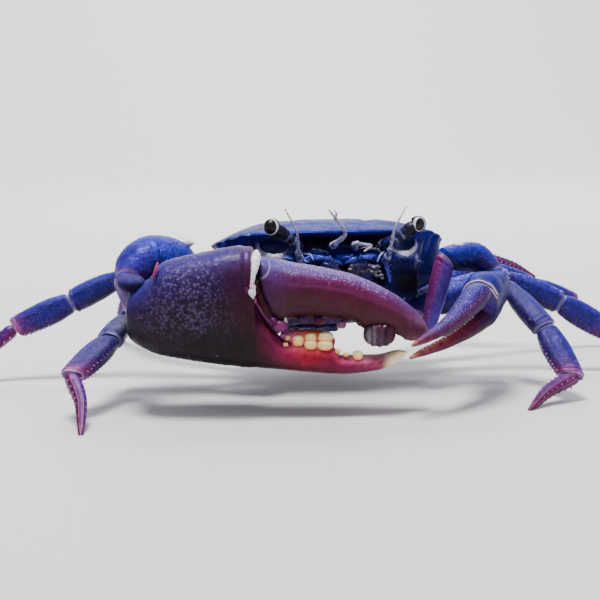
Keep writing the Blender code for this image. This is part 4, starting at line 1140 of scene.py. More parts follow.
def makeRow(name, shapes, surface):
    # balls as one piece, whose paint runs along the row and up each ball
    points, faces = joinShapes(shapes)
    along = []
    high = []
    for index, (part, _) in enumerate(shapes):
        low, top = part[:, 2].min(), part[:, 2].max()
        along.append(np.full(len(part), index / max(1, len(shapes) - 1)))
        high.append((part[:, 2] - low) / (top - low) * 2 - 1)
    values = {"along": np.concatenate(along), "high": np.concatenate(high)}
    return finishPiece(makeMesh(name, points, faces, values), surface)


def makeLimb(name, limb, rings, sides, surface, nodes=(), relief=None, start=neck, end=socket):
    points, faces, values = limbShape(limb, rings, sides, relief, start, end)
    return finishPiece(makeMesh(name, points, faces, values), surface, nodes)


def makeLargeClaw():
    palm = makeLimb("largePalm", clawLimb(largeClaw["palm"], 2.2), 270, 156, palmPaint,
                    ["claw_right_palm"], palmRelief, plain, tip)
    addGrains(palm, dimGrain, 3.0, 0.07, 0.20, 0.35, seed=4)
    finger = makeLimb("largeFinger", clawLimb(largeClaw["finger"], 2.3), 240, 132, fingerPaint,
                      ["claw_right_dactylus"], fingerRelief, plain, tip)
    addGrains(finger, brightGrain, 12.0, 0.04, 0.08, seed=9)
    gum = clawStrip(largeClaw["gumPath"], largeClaw["gum"])
    makeLimb("largeMolarGum", gum, 110, 60, fleshPaint, (), skinRelief, tip, tip)
    makeRow("largeMolars", clawBalls(largeClaw["molars"]), molarPaint)
    makeRow("largeSmallMolars", clawBalls(largeClaw["smallMolars"]), molarPaint)
    # the low molar under the finger, with furrows from top to bottom
    at, up, front, half, high, thick = largeClaw["tooth"]
    shape, faces = clawBall((at, up, front), (half, thick, high), 120, 60, 0.9)
    across = (clawPlace(shape)[0] - at) / half
    furrows = 0.10 * np.cos(across * 15 + 1.5 * noiseAt(shape, 2.0)) * (1 - across**2)
    shape += unit(shape - inClaw(at, up, front)) * furrows[:, None]
    values = {"along": across / 2 + 0.5, "high": (shape[:, 2] - shape[:, 2].min()) / high - 1}
    finishPiece(makeMesh("largeFingerTooth", shape, faces, values), toothPaint)
    makeRow("largeFingerStubs", clawBalls(largeClaw["stubs"]), fingerPaint)
    before, way = wristWays("right")
    wrist = np.array(arms["right"][3])
    cut = unit(before + way)
    line = (wrist + way * gap / 2 / (way @ cut), inClaw(*largeClaw["neckRoot"]))
    root = Limb(line, level, taper(3.7, 3.8, ((0, 0.6, 0.6), (0.25, 0.76, 0.76), (1, 1, 1))), (cut, None))
    makeLimb("largePalmNeck", root, 24, 40, armPaint, end=plain)
    at, up, *radii = largeClaw["shoulder"]
    shape, faces = clawBall((at, up), radii, 80, 52)
    shape += unit(shape - inClaw(at, up)) * (0.22 * noiseAt(shape, 1.8, 3.0) - 0.12)[:, None]
    makeRow("largePalmShoulder", [(shape, faces)], shoulderPaint)
    # the skins of hinge and wrist and the seam of the hinge: the path, then share along and half sizes
    for name, surface, path, shape in (
        ("largeHingeSkin", whiteSkin,
         ((26.85, 11.6, 1.9), (26.75, 9.8, 4.2), (26.35, 7.4, 5.4), (26.05, 5.4, 5.7)),
         ((0, 0.3, 0.45), (0.25, 0.45, 0.95), (0.55, 0.4, 0.7), (0.8, 0.3, 0.42), (1, 0.3, 0.38))),
        ("largeHingeSeam", lobePaint,
         ((26.9, 2.2, 5.1), (28.2, -0.1, 5.0), (29.9, -2.0, 4.7)),
         ((0, 0.2, 0.18), (0.5, 0.22, 0.24), (1, 0.2, 0.24))),
        ("largeWristSkin", pinkSkin,
         ((8.3, 9.4, 3.6), (8.0, 8.2, 4.2), (7.7, 6.9, 4.9)),
         ((0, 0.2, 0.22), (0.5, 0.3, 0.34), (1, 0.2, 0.2))),
    ):
        strip = clawStrip(path, [(t, -high, high, deep) for t, high, deep in shape])
        makeLimb(name, strip, 60, 28, surface, (), skinRelief, tip, tip)
    # the knobs below the hinge and the lobes beside the gape: place and half sizes of each ball
    for name, surface, *balls in (
        ("largeHingeKnob", whiteSkin, (26.05, 4.2, 5.5, 0.80, 0.6, 0.95), (26.45, 5.2, 5.4, 0.40, 0.4, 0.55)),
        # largeHingeGlow: pink balls that stand for the bright glow below the hinge, painted light
        ("largeHingeGlow", pinkSkin, (26.1, 2.6, 5.0, 0.85, 0.5, 0.8), (25.1, 4.6, 5.8, 0.35, 0.25, 0.7)),
        ("largeHingeSpot", whiteSkin, (26.0, 3.3, 5.4, 0.5, 0.4, 0.55)),
        ("largeGapeLobes", lobePaint, (31.2, -2.5, 3.4, 1.6, 1.0, 1.15), (30.0, -1.5, 3.9, 0.8, 0.6, 0.75),
         (32.3, -3.4, 3.1, 0.9, 0.8, 0.8)),
    ):
        makeRow(name, [clawBall(one[:3], one[3:]) for one in balls], surface)
    fold = clawStrip(largeClaw["foldPath"], largeClaw["fold"])
    makeLimb("largeHingeFold", fold, 60, 40, gumPaint, (), skinRelief, tip, tip)
    makeRow("largeGapeTooth", [clawBall((32.3, -1.6, 3.2), (0.32, 0.3, 0.85))], whiteSkin)


def skinRelief(points, t, angle):
    folds = np.cos(t * 2 * math.pi * 9 + 2 * noiseAt(points, 1.5))
    return 0.07 * noiseAt(points, 0.9, 4.0) + 0.03 * folds, {}


# Small claw
smallClaw = {
    "palmPath": (
        (33.0, -16.8, 24.9), (31.9, -18.8, 23.2), (29.2, -22.4, 21.4), (25.4, -28.4, 19.6),
        (16.8, -35.6, 14.9), (7.6, -40.8, 12.5),
    ),
    "palm": (
        (0.0, -1.9, 1.9, 1.8), (0.03, -2.3, 2.3, 2.2), (0.08, -4.4, 4.0, 3.3), (0.17, -5.6, 5.5, 4.0),
        (0.28, -5.8, 6.0, 4.2), (0.335, -5.6, 5.6, 3.9), (0.35, -5.4, 4.6, 3.7), (0.362, -5.2, 0.6, 3.4),
        (0.40, -4.9, -0.8, 3.0), (0.50, -4.0, -0.5, 2.4), (0.70, -1.9, 0.6, 1.5), (0.90, -0.9, 0.6, 0.9),
        (1.0, -0.4, 0.35, 0.4),
    ),
    "fingerPath": ((26.0, -29.6, 23.4), (24.3, -31.0, 22.4), (16.4, -36.8, 17.8), (7.9, -41.0, 14.9)),
    "finger": (
        (0.0, -0.8, 1.2, 1.6), (0.05, -2.0, 2.1, 2.3), (0.13, -2.4, 2.6, 2.5), (0.40, -1.8, 2.0, 2.0),
        (0.70, -1.2, 1.2, 1.4), (0.92, -0.7, 0.6, 0.8), (1.0, -0.35, 0.3, 0.4),
    ),
    "teeth": 16,
    "teethPlaces": ((0.48, 0.029), (0.2, 0.045)),  # first place along and step, on the palm and on the finger
}
# toward its tip the fixed finger is dark violet below and pink above; the pink upper edge is partly a painted
# highlight
smallPalmPaint = makeShell(
    "smallPalmPaint", "blue_shell",
    ((0, 44, 40, 120), (0.3, 38, 34, 96), (0.45, 56, 26, 78), (0.6, 84, 28, 66), (0.8, 96, 34, 70),
     (0.94, 140, 64, 92), (1, 190, 120, 124)),
    (0, 0.7, (0, 46, 50, 166), (0.32, 40, 40, 140), (0.42, 66, 34, 104), (0.6, 116, 34, 80),
     (0.8, 152, 48, 86), (0.94, 192, 98, 114), (1, 224, 164, 152)),
    (0.6, 0.5, (0, 58, 68, 196), (0.32, 56, 62, 184), (0.42, 112, 50, 112), (0.6, 168, 50, 90),
     (0.8, 222, 106, 120), (0.94, 240, 166, 156), (1, 240, 200, 176)),
    pale=(246, 232, 220), metal=0.15, specular=0.15,
)
smallFingerPaint = makeShell(
    "smallFingerPaint", "violet_shell",
    ((0, 60, 40, 104), (0.4, 84, 34, 84), (0.8, 112, 42, 80), (1, 170, 100, 104)),
    (-0.1, 0.6, (0, 90, 60, 148), (0.35, 124, 56, 128), (0.7, 118, 52, 114), (0.92, 146, 66, 104),
     (1, 196, 124, 122)),
    (0.6, 0.5, (0, 74, 70, 182), (0.4, 86, 66, 172), (0.75, 108, 70, 158), (0.93, 150, 84, 124),
     (1, 206, 140, 134)),
    pale=(240, 214, 210), specular=0.18,
)


def smallPalmRelief(points, t, angle):
    lift = layers(points, (0.05, 2.0, 1.0), (0.02, 0.6, 2.0))
    lift -= 0.15 * peak(np.sin(angle) + 0.55, 0.1) * ramp(t, 0.36, 0.45)
    return lift, {
        "pale": 0.15 * (peak(t - 0.345, 0.008) * ramp(np.sin(angle), -0.2, 0.2)),
        "grain": (0.4 + 0.6 * ramp(np.sin(angle), 0, 0.7)) * (1 - ramp(t, 0.3, 0.4)),
    }


def smallFingerRelief(points, t, angle):
    lift = 0.04 * noiseAt(points, 1.6, 6.0) - 0.16 * peak(np.sin(angle) - 0.2, 0.12) * ramp(t, 0.1, 0.2)
    return lift, {"grain": ramp(np.sin(angle), 0.1, 0.7) * (1 - ramp(t, 0.6, 0.9))}


def makeSmallClaw():
    before, way = wristWays("left")
    cut = unit(before + way)
    start = np.array(arms["left"][3]) + way * gap / 2 / (way @ cut)
    palm = Limb([start, *smallClaw["palmPath"][1:]], level, smallClaw["palm"], (cut, None), 2.2)
    made = makeLimb("smallPalm", palm, 220, 96, smallPalmPaint, ["claw_left_palm"],
                    smallPalmRelief, neck, tip)
    addGrains(made, blueGrain, 2.5, 0.05, 0.10, seed=3)
    finger = Limb(smallClaw["fingerPath"], level, smallClaw["finger"])
    made = makeLimb("smallFinger", finger, 150, 72, smallFingerPaint, ["claw_left_dactylus"],
                    smallFingerRelief, plain, tip)
    addGrains(made, grainPaint, 5.0, 0.04, 0.09, seed=5)
    teeth = []
    for limb, sign, (first, step) in zip((palm, finger), (1, -1), smallClaw["teethPlaces"]):
        for i in range(smallClaw["teeth"]):
            t = np.array((first + step * i,))
            along, depth, up = (axis[0] for axis in limb.axes(t))
            centre = limb.at(t, sign * math.pi / 2)[0] - up * 0.1 * sign
            size = 0.75 + 0.3 * (i % 3 == 0) - 0.02 * i
            teeth.append(ball(centre, (along, depth, up), (0.42 * size, 0.42 * size, 0.46 * size), 12, 8))
    makeRow("smallClawTeeth", teeth, whiteSkin)
    # the pale double fold and the knob at the finger's hinge
    axes = [axis[0] for axis in palm.axes(np.array((0.34,)))]
    along, _, up = axes
    for name, reach, thick in (("smallHingeOuter", 0.5, 0.13), ("smallHingeInner", 1.7, 0.10)):
        arc = []
        for turn in np.radians((20, 55, 90, 125, 155)):
            arc.append(palm.at(np.array((0.338,)), turn)[0] + along * reach * 0.55 - up * reach * 0.5)
        fold = Limb(arc, along, taper(thick, thick, ((0, 1, 1), (0.5, 1.2, 1.2), (1, 1, 1))))
        makeLimb(name, fold, 60, 14, whiteSkin, start=tip, end=tip)
    upper, lower = (palm.at(np.array((0.352,)), math.radians(turn))[0] for turn in (25, 0))
    knobs = [ball(upper, axes, (0.7, 0.5, 0.7)), ball(lower, axes, (0.4, 0.4, 0.5))]
    makeRow("smallHingeKnob", knobs, whiteSkin)


makeLargeClaw()
makeSmallClaw()
print("claws made")


# Walking legs
legs = {
    "joints": {
        "right_1": (
            (-17.0, -5.6, 15.4), (-43.4, -4.9, 15.4), (-47.2, -15.6, 13.2),
            (-55.0, -26.1, 8.6), (-53.9, -37.0, 0),
        ),
        "right_2": (
            (-18.0, 0.2, 15.0), (-43.0, 7.6, 22.6), (-54.0, 9.6, 17.2),
            (-66.4, 10.3, 11.8), (-77.5, 9.0, 0),
        ),
        "right_3": (
            (-17.0, 6.2, 14.2), (-34.0, 20.0, 22.0), (-38.0, 31.0, 18.0),
            (-40.0, 42.5, 12.5), (-40.5, 51.5, 0),
        ),
        "right_4": (
            (-13.2, 11.2, 13.4), (-22.5, 28.0, 22.0), (-25.0, 38.0, 18.5),
            (-26.0, 48.5, 13.5), (-25.5, 57.5, 0),
        ),
        "left_1": (
            (17.0, -5.6, 15.6), (38.6, -11.2, 20.6), (42.6, -22.6, 13.4),
            (45.0, -31.4, 4.9), (33.6, -37.2, 0),
        ),
        "left_2": (
            (18.0, 0.2, 15.0), (41.8, -2.7, 21.3), (53.7, -5.3, 15.8), (65.2, -7.7, 9.0), (74.6, -9.7, 0),
        ),
        "left_3": (
            (17.0, 6.2, 14.2), (42.5, 11.5, 21.6), (55.0, 15.0, 16.6), (68.0, 18.0, 11.8), (79.0, 20.0, 0),
        ),
        "left_4": (
            (13.2, 11.2, 13.4), (27.5, 24.5, 22.5), (36.5, 25.0, 22.5),
            (46.5, 21.0, 22.8), (58.4, 20.4, 18.2),
        ),
    },
    "scale": {"1": 1.0, "2": 1.0, "3": 0.98, "4": 0.86},
    "footSunk": 0.42,
    # half depth, half height, and the shape along: share of the length, depth share, height share
    "merus": (1.9, 3.0, (
        (0, 0.62, 0.50), (0.05, 0.75, 0.62), (0.35, 1, 0.95), (0.7, 1, 1), (0.96, 0.95, 0.85), (1, 0.8, 0.7),
    )),
    "carpus": (1.9, 2.6, (
        (0, 0.62, 0.6), (0.08, 0.8, 0.72), (0.5, 0.95, 0.95), (0.93, 1, 1), (1, 0.82, 0.82),
    )),
    "propodus": (1.65, 2.85, (
        (0, 0.66, 0.66), (0.06, 0.85, 0.82), (0.4, 1, 1), (0.93, 0.92, 0.84), (1, 0.75, 0.68),
    )),
    "dactylus": (1.45, 1.5, (
        (0, 0.72, 0.72), (0.06, 1, 1), (0.4, 0.86, 0.86), (0.8, 0.55, 0.55), (1, 0.3, 0.3),
    )),
    "spineLength": 0.65,
    "spineRadius": 0.24,
    "spineLean": 0.5,
}


def awayFrom(angle, place):
    # how far an angle is from a place round the limb
    return np.abs(np.angle(np.exp(1j * (angle - place))))


def ridges(angle, places, width):
    return sum(peak(awayFrom(angle, math.radians(place)), width) for place in places)


def mitred(start, end, before, after, kind, scale, up, squareness, crest=0.0, bow=0.0):
    # a segment from joint to joint, cut to meet the ways that its neighbours run; kind: half depth, half
    # height and shape along
    along = unit(end - start)
    cuts = [unit(along + other) if other is not None else along for other in (before, after)]
    start = start + along * gap / 2 / (along @ cuts[0])
    if after is not None:
        end = end - along * gap / 2 / (along @ cuts[1])
    depth = unit(np.cross(along, up))
    middle = (start + end) / 2 + np.cross(depth, along) * bow
    line = [start, middle, end] if bow else [start, end]
    return Limb(line, up, taper(*kind, scale), cuts, squareness, crest)


def glints(points, angle):
    # painted highlights: paler streaks along the upper edge that stand in for wet glints
    return 0.5 * ridges(angle, (70, 100), 0.16) * ramp(noiseAt(points * (1, 1, 1.8), 0.55, 4.0), 0.16, 0.45)


def jointLip(t, at=0.965):
    # the groove and the raised rim where a segment ends
    return 0.10 * peak(t - at, 0.014) - 0.13 * peak(t - at + 0.05, 0.014)


def merusRelief(points, t, angle):
    saw = 0.5 + 0.5 * np.cos(t * 2 * math.pi * 30)
    edges = ridges(angle, (90, 225, 315), 0.10)
    lift = layers(points, (0.05, 2.0, 0), (0.02, 0.6, 3.0)) + edges * (0.04 + 0.10 * saw)
    ripples = np.sin(t * 2 * math.pi * 34 + 3 * noiseAt(points, 3.0, 5.0))
    lift += 0.03 * ripples * ramp(np.sin(angle), -0.4, 0.2)
    pale = 0.22 * ramp(t, 0.955, 1) + glints(points, angle)
    return lift + jointLip(t), {"pale": pale, "grain": 0.15 + edges}


def carpusRelief(points, t, angle):
    keel = ridges(angle, (90, 20, 160), 0.13)
    lift = layers(points, (0.05, 1.8, 2.0), (0.02, 0.5, 4.0)) + 0.14 * keel * ramp(t, 0.1, 0.3)
    lift -= 0.12 * ridges(angle, (48, 132), 0.14) * ramp(t, 0.1, 0.3)
    pale = 0.22 * ramp(t, 0.94, 1) + glints(points, angle)
    return lift + jointLip(t, 0.95), {"pale": pale, "grain": 0.2 + 0.8 * keel}


def propodusRelief(points, t, angle):
    keel = ridges(angle, (90, 245, 295), 0.12)
    lift = layers(points, (0.04, 1.6, 6.0), (0.02, 0.5, 1.0)) + 0.12 * keel
    lift -= 0.16 * ridges(angle, (0, 180), 0.16) * ramp(t, 0.06, 0.15) * (1 - ramp(t, 0.8, 0.95))
    pale = 0.3 * ramp(t, 0.96, 1) + 0.35 * (1 - ramp(t, 0, 0.03)) + glints(points, angle)
    return lift + jointLip(t, 0.96), {"pale": pale, "grain": 0.2 + 0.8 * keel}


def dactylusRelief(points, t, angle):
    furrows = 0.15 * ridges(angle, (0, 90, 180, 270), 0.22) * ramp(t, 0.05, 0.12) * (1 - ramp(t, 0.75, 1))
    return 0.02 * noiseAt(points, 0.8, 6.0) - furrows, {"grain": 0.1 + 0 * t}


# the pale colour of legPaint and handPaint serves the whitish joint rims and the painted glints
legPaint = makeShell(
    "legPaint", "blue_shell",
    ((0, 62, 36, 112), (0.5, 42, 30, 104), (1, 66, 34, 108)),
    (-0.35, 0.6, (0, 66, 42, 138), (0.3, 46, 38, 140), (0.9, 52, 40, 144), (1, 98, 56, 154)),
    (0.55, 0.6, (0, 78, 62, 180), (0.2, 66, 64, 194), (0.85, 72, 64, 194), (1, 116, 80, 190)),
    pale=(176, 186, 240), speck=(124, 128, 224), speckStrength=0.3, metal=0.15, specular=0.12, coat=0.22,
    coatRoughness=0.06, wetDepth=0.5, wetSize=0.6,
)
handPaint = makeShell(
    "handPaint", "blue_shell",
    ((0, 58, 36, 122), (0.6, 60, 32, 116), (0.88, 116, 46, 124), (1, 180, 84, 150)),
    (-0.35, 0.6, (0, 58, 42, 150), (0.6, 52, 40, 150), (0.85, 100, 50, 150), (0.95, 180, 92, 168),
     (1, 206, 140, 186)),
    (0.55, 0.6, (0, 74, 66, 194), (0.6, 68, 64, 196), (0.85, 86, 64, 190), (0.96, 166, 110, 192),
     (1, 206, 150, 200)),
    pale=(190, 180, 236), speck=(170, 104, 184), speckStrength=0.35, metal=0.15, specular=0.12, coat=0.22,
    coatRoughness=0.06, wetDepth=0.5, wetSize=0.6,
)
footPaint = makeShell(
    "footPaint", "violet_shell",
    ((0, 130, 34, 116), (0.4, 120, 30, 104), (0.9, 132, 40, 94), (1, 84, 36, 72)),
    (-0.2, 0.6, (0, 126, 52, 160), (0.4, 112, 42, 146), (0.9, 140, 54, 130), (1, 100, 44, 90)),
    (0.6, 0.5, (0, 100, 66, 194), (0.4, 84, 52, 184), (0.9, 130, 64, 160), (1, 100, 50, 94)),
    speck=(206, 110, 180), speckStrength=0.35, coat=0.12, wetDepth=0.25,
)
thornPaint = makeShell(
    "thornPaint", "violet_shell",
    ((0, 186, 104, 176), (1, 206, 140, 190)),
    mottle=0.2, tone=(0.8, 1.0),
)
hairPaint = makeShell(
    "hairPaint", "pale_skin",
    ((0, 120, 104, 128), (1, 134, 112, 128)),
    mottle=0.3, roughness=(0.5, 0.6), coat=0.0,
)


def onSurface(limb, t, turn, sunk=0.05):
    # places just under the surface, the ways out there and the ways along
    t, turn = (np.atleast_1d(np.asarray(value, float)) for value in (t, turn))
    out = limb.out(t, np.radians(turn))
    return limb.at(t, np.radians(turn)) - out * sunk, out, limb.axes(t)[0]


def grounded(made):
    # a standing leg's tip is flat where it meets the floor
    places = np.empty(len(made.data.vertices) * 3)
    made.data.vertices.foreach_get("co", places)
    places = places.reshape(-1, 3)
    places[:, 2] = np.maximum(places[:, 2], 0)
    made.data.vertices.foreach_set("co", places.ravel())
    made.data.update()


def makeLeg(name, joints, seed):
    joints = np.array(joints)
    standing = joints[-1][2] == 0
    if standing:
        joints[-1] += unit(joints[-1] - joints[-2]) * legs["footSunk"]
    scale = legs["scale"][name[-1]]
    hip, knee, ankle, heel, toe = joints
    ways = [unit(b - a) for a, b in zip(joints, joints[1:])]
    plane = unit(np.cross(knee - hip, toe - knee))
    ups = [np.cross(plane, way) for way in ways]
    ups = [up if up[2] > 0 else -up for up in ups]
    merus = mitred(hip, knee, ways[0], ways[1], legs["merus"], scale, level, 2.2, 0.5)
    carpus = mitred(knee, ankle, ways[0], ways[2], legs["carpus"], scale, ups[1], 2.4, 0.3)
    propodus = mitred(ankle, heel, ways[1], ways[3], legs["propodus"], scale, ups[2], 2.6)
    dactylus = mitred(heel, toe, ways[2], None, legs["dactylus"], scale, ups[3], 2.6, bow=0.9)
    node = "leg_" + name
    label = "leg" + name.title().replace("_", "")
    for limb, part, rings, surface, relief in (
        (merus, "merus", 150, legPaint, merusRelief),
        (carpus, "carpus", 80, legPaint, carpusRelief),
        (propodus, "propodus", 100, handPaint, propodusRelief),
    ):
        made = makeLimb(label + part.title(), limb, rings, 56, surface, [f"{node}_{part}"], relief)
        addGrains(made, blueGrain, 1.3, 0.05, 0.10, seed=seed)
    foot = makeLimb(label + "Dactylus", dactylus, 90, 48, footPaint, [node + "_dactylus"],
                    dactylusRelief, end=stump if standing else tip)
    if standing:
        grounded(foot)
    chance = np.random.default_rng(seed)
    thorns = []
    hairs = []
    count = np.arange(9)
    for turn in (245, 295):
        at, out, along = onSurface(propodus, 0.22 + 0.085 * count, turn + chance.uniform(-4, 4, 9))
        thorns.append((at, out + along * 0.3, 0.55 + 0.05 * count))
    count = np.arange(7)
    for row, turn in enumerate((45, 135, 225, 315)):
        at, out, along = onSurface(dactylus, 0.10 + 0.095 * count + 0.03 * (row % 2), turn + 0 * count)
        thorns.append((at, out + along * legs["spineLean"], 1.0 - 0.07 * count))
    for limb, count, turns, last in (
        (propodus, 46, (90, 240, 300), 0.88), (dactylus, 52, (45, 135, 225, 315), 0.66),
        (merus, 40, (90,), 0.88),
    ):
        turn = np.resize(turns, count) + chance.uniform(-16, 16, count)
        at, out, along = onSurface(limb, chance.uniform(0.05, last, count), turn)
        ways = out + along * chance.uniform(0.2, 1.0, (count, 1))
        hairs.append((at, ways, chance.uniform(0.4, 0.8, count)))
    addThorns(label + "Thorns", thorns, thornPaint, legs["spineLength"], legs["spineRadius"], 8, 0.6)
    addThorns(label + "Hairs", hairs, hairPaint, 0.7, 0.03, 4, 0.9)


for order, (name, joints) in enumerate(legs["joints"].items()):
    makeLeg(name, joints, 20 + order)
print("legs made")


# Arms that carry the claws
armParts = {
    "ischium": (2.6, 2.8, ((0, 0.7, 0.7), (0.15, 0.85, 0.85), (0.8, 1, 1), (1, 0.82, 0.82))),
    "merusShape": ((0, 0.66, 0.6), (0.06, 0.8, 0.75), (0.5, 1, 0.95), (0.93, 1, 1), (1, 0.8, 0.75)),
    "merusSize": {"right": (2.9, 3.6), "left": (2.7, 2.75)},
    "rightCarpus": (6.4, 6.9, (
        (0, 0.36, 0.34), (0.06, 0.6, 0.62), (0.3, 0.95, 0.97), (0.5, 1, 1), (0.75, 0.84, 0.86),
        (0.93, 0.46, 0.5), (1, 0.32, 0.34),
    )),
    "leftCarpus": (3.4, 3.0, (
        (0, 0.6, 0.6), (0.08, 0.85, 0.88), (0.4, 1, 1), (0.75, 0.95, 0.95), (0.94, 0.72, 0.75),
        (1, 0.56, 0.6),
    )),
    "spine": (0.3, 80, 2.0, 1.3),  # share along the carpus, degrees round it, length, radius
    "spineShape": ((0, 1.0, 1.0), (0.35, 0.8, 0.8), (0.75, 0.42, 0.42), (1, 0.12, 0.12)),
}
carpusPaint = makeShell(
    "carpusPaint", "blue_shell",
    ((0, 34, 28, 92), (1, 58, 32, 92)),
    (-0.2, 0.7, (0, 44, 42, 146), (0.6, 46, 42, 146), (1, 96, 52, 130)),
    (0.55, 0.6, (0, 56, 62, 192), (0.6, 58, 66, 206), (0.95, 84, 68, 190), (1, 160, 96, 176)),
    speck=(130, 134, 224), speckStrength=0.35, grainDepth=0.05, metal=0.2, specular=0.12,
)


def armRelief(points, t, angle):
    edges = ridges(angle, (90, 225, 315), 0.12)
    saw = 0.5 + 0.5 * np.cos(t * 2 * math.pi * 16)
    lift = layers(points, (0.06, 2.2, 3.0), (0.02, 0.6, 1.0)) + edges * (0.05 + 0.16 * saw)
    return lift + jointLip(t, 0.955), {"pale": 0.2 * ramp(t, 0.945, 1), "grain": 0.2 + edges}


def wristRelief(points, t, angle):
    rough = ramp(t, 0.06, 0.2) * (1 - ramp(t, 0.85, 0.97))
    lift = layers(points, (0.08, 2.6, 2.0), (0.02, 0.6, 5.0))
    lift += 0.10 * (1 - ramp(cellsAt(points, 0.95, 4.0), 0, 0.55)) * rough
    return lift, {"pale": 0.1 * ramp(t, 0.95, 1), "grain": 0.9 * rough * ramp(np.sin(angle), -0.6, 0.2)}


def makeArm(side, paint):
    root, bend, elbow, wrist = (np.array(joint) for joint in arms[side])
    turn = np.array(armBends[side])
    scale = armScale[side]
    ways = [unit(bend - root), unit(elbow - bend), unit(turn - elbow)]
    upper = level if side == "right" else np.array((1.0, 0.0, 0.0))
    node = "claw_" + side
    label = "arm" + side.title()
    merusKind = (*armParts["merusSize"][side], armParts["merusShape"])
    for part, limb in (
        ("ischium", mitred(root, bend, ways[0], ways[1], armParts["ischium"], scale, level, 2.4)),
        ("merus", mitred(bend, elbow, ways[0], ways[2], merusKind, scale, upper, 2.6)),
    ):
        made = makeLimb(label + part.title(), limb, 110, 72, paint, [f"{node}_{part}"], armRelief)
        addGrains(made, grainPaint, 0.9, 0.04, 0.09, seed=7)
    before, way = wristWays(side)
    cuts = (unit(ways[1] + ways[2]), unit(before + way))
    start = elbow + ways[2] * gap / 2 / (ways[2] @ cuts[0])
    end = wrist - before * gap / 2 / (before @ cuts[1])
    carpus = Limb([start, turn, end], level, taper(*armParts[side + "Carpus"]), cuts, 2.15)
    made = makeLimb(label + "Carpus", carpus, 170, 120, carpusPaint, [node + "_carpus"], wristRelief,
                    end=plain if side == "right" else socket)
    addGrains(made, blueGrain, 2.0, 0.05, 0.13, seed=11)
    at, angle, length, radius = armParts["spine"]
    inward = unit(np.array((0.8 if side == "right" else -0.8, -0.45, 0.1)))
    place = onSurface(carpus, at, angle, 0.3)[0][0]
    line = (place - inward * 0.6, place + inward * length * scale)
    sections = taper(radius * scale, radius * scale, armParts["spineShape"])
    point = Limb(line, level, sections, squareness=2.0)
    makeLimb(label + "Spine", point, 30, 24, whiteSkin, start=plain, end=tip)


for side in arms:
    makeArm(side, armPaint if side == "right" else smallArmPaint)
print("arms made")


# Head
head = {
    # the root and the bend of the stalk, and the middle of the eye
    "eyePlaces": ((8.9, -17.2, -2.0), (10.6, -19.7, -0.5), (15.0, -21.0, 2.4)),
    "eyeRadii": (1.45, 1.74, 1.8),
    # the way each eye looks, how far its pale ring lies forward, across and up, and where it is thickest
    # the ring is partly a painted highlight of the cornea's rim, drawn thickest where the rim shines
    "rings": {
        "right": ((-0.50, -0.86, 0.12), 0.42, 0.84, 0.92, 2.9),
        "left": ((0.04, -0.99, 0.06), 0.55, 0.52, 0.84, 0.6),
    },
    "ringDetail": (96, 12),
    "stalk": (1.5, 1.5, ((0, 0.6, 0.6), (0.1, 0.8, 0.8), (0.55, 0.73, 0.73), (0.9, 1, 1), (1, 0.9, 0.9))),
    "feelers": {
        "antenna_right": (
            (-8.6, -19.2, 28.0), (-10.0, -21.6, 30.4), (-10.4, -22.8, 34.0), (-13.1, -23.4, 39.6),
        ),
        "antenna_left": (
            (8.6, -19.2, 28.0), (8.9, -21.6, 30.4), (9.2, -22.8, 34.0), (11.8, -23.4, 39.8),
        ),
        "antennule_right": (
            (-2.4, -17.6, 31.2), (-2.3, -21.0, 32.2), (-0.6, -22.4, 34.2), (-4.2, -23.2, 39.2),
        ),
        "antennule_left": (
            (2.4, -17.6, 31.2), (2.5, -20.6, 32.0), (5.0, -21.6, 31.6), (3.4, -22.0, 30.6),
        ),
    },
    "antenna": (1.0, 1.0, (
        (0, 1, 1), (0.2, 0.85, 0.85), (0.42, 0.4, 0.4), (0.7, 0.27, 0.27), (1, 0.15, 0.15),
    )),
    "antennule": (0.9, 0.9, (
        (0, 1, 1), (0.25, 0.7, 0.7), (0.5, 0.48, 0.48), (0.85, 0.33, 0.33), (1, 0.2, 0.2),
    )),
    "slimness": {"antenna": 0.78, "antennule": 0.92},
    "forkPath": ((-2.9, -22.9, 37.3), (-2.6, -23.0, 38.3), (-2.9, -23.1, 38.9)),
    "fork": (0.26, 0.26, ((0, 1, 1), (0.6, 0.8, 0.8), (1, 0.4, 0.4))),
    # a palp from the top of the mouthpart: sideways from it, forward and up
    "palpPath": ((1.2, -0.2, 0.2), (0.6, -1.9, 1.6), (-1.4, -2.5, 0.9), (-1.9, -2.3, -1.6)),
    "palp": (0.75, 0.6, (
        (0, 0.9, 0.9), (0.3, 1, 1), (0.36, 0.75, 0.75), (0.6, 0.95, 0.9), (0.66, 0.7, 0.7), (0.9, 0.6, 0.6),
        (1, 0.3, 0.3),
    )),
    "mouthPath": ((3.3, -15.4, -15.6), (3.4, -16.9, -10.5), (3.5, -17.6, -6.4)),
    "mouth": (3.0, 1.2, (
        (0, 0.76, 0.7), (0.08, 0.93, 0.85), (0.5, 1, 1), (0.6, 0.9, 0.85), (0.9, 0.9, 0.9), (1, 0.66, 0.6),
    )),
}
eyePaint = makeShell(
    "eyePaint", "eye",
    ((0, 18, 18, 26), (1, 22, 20, 30)),
    mottle=0.2, roughness=(0.34, 0.40), specular=0.3, coat=0.16, coatRoughness=0.12, metal=0.0, grain=0.09,
    grainDepth=0.002,
)
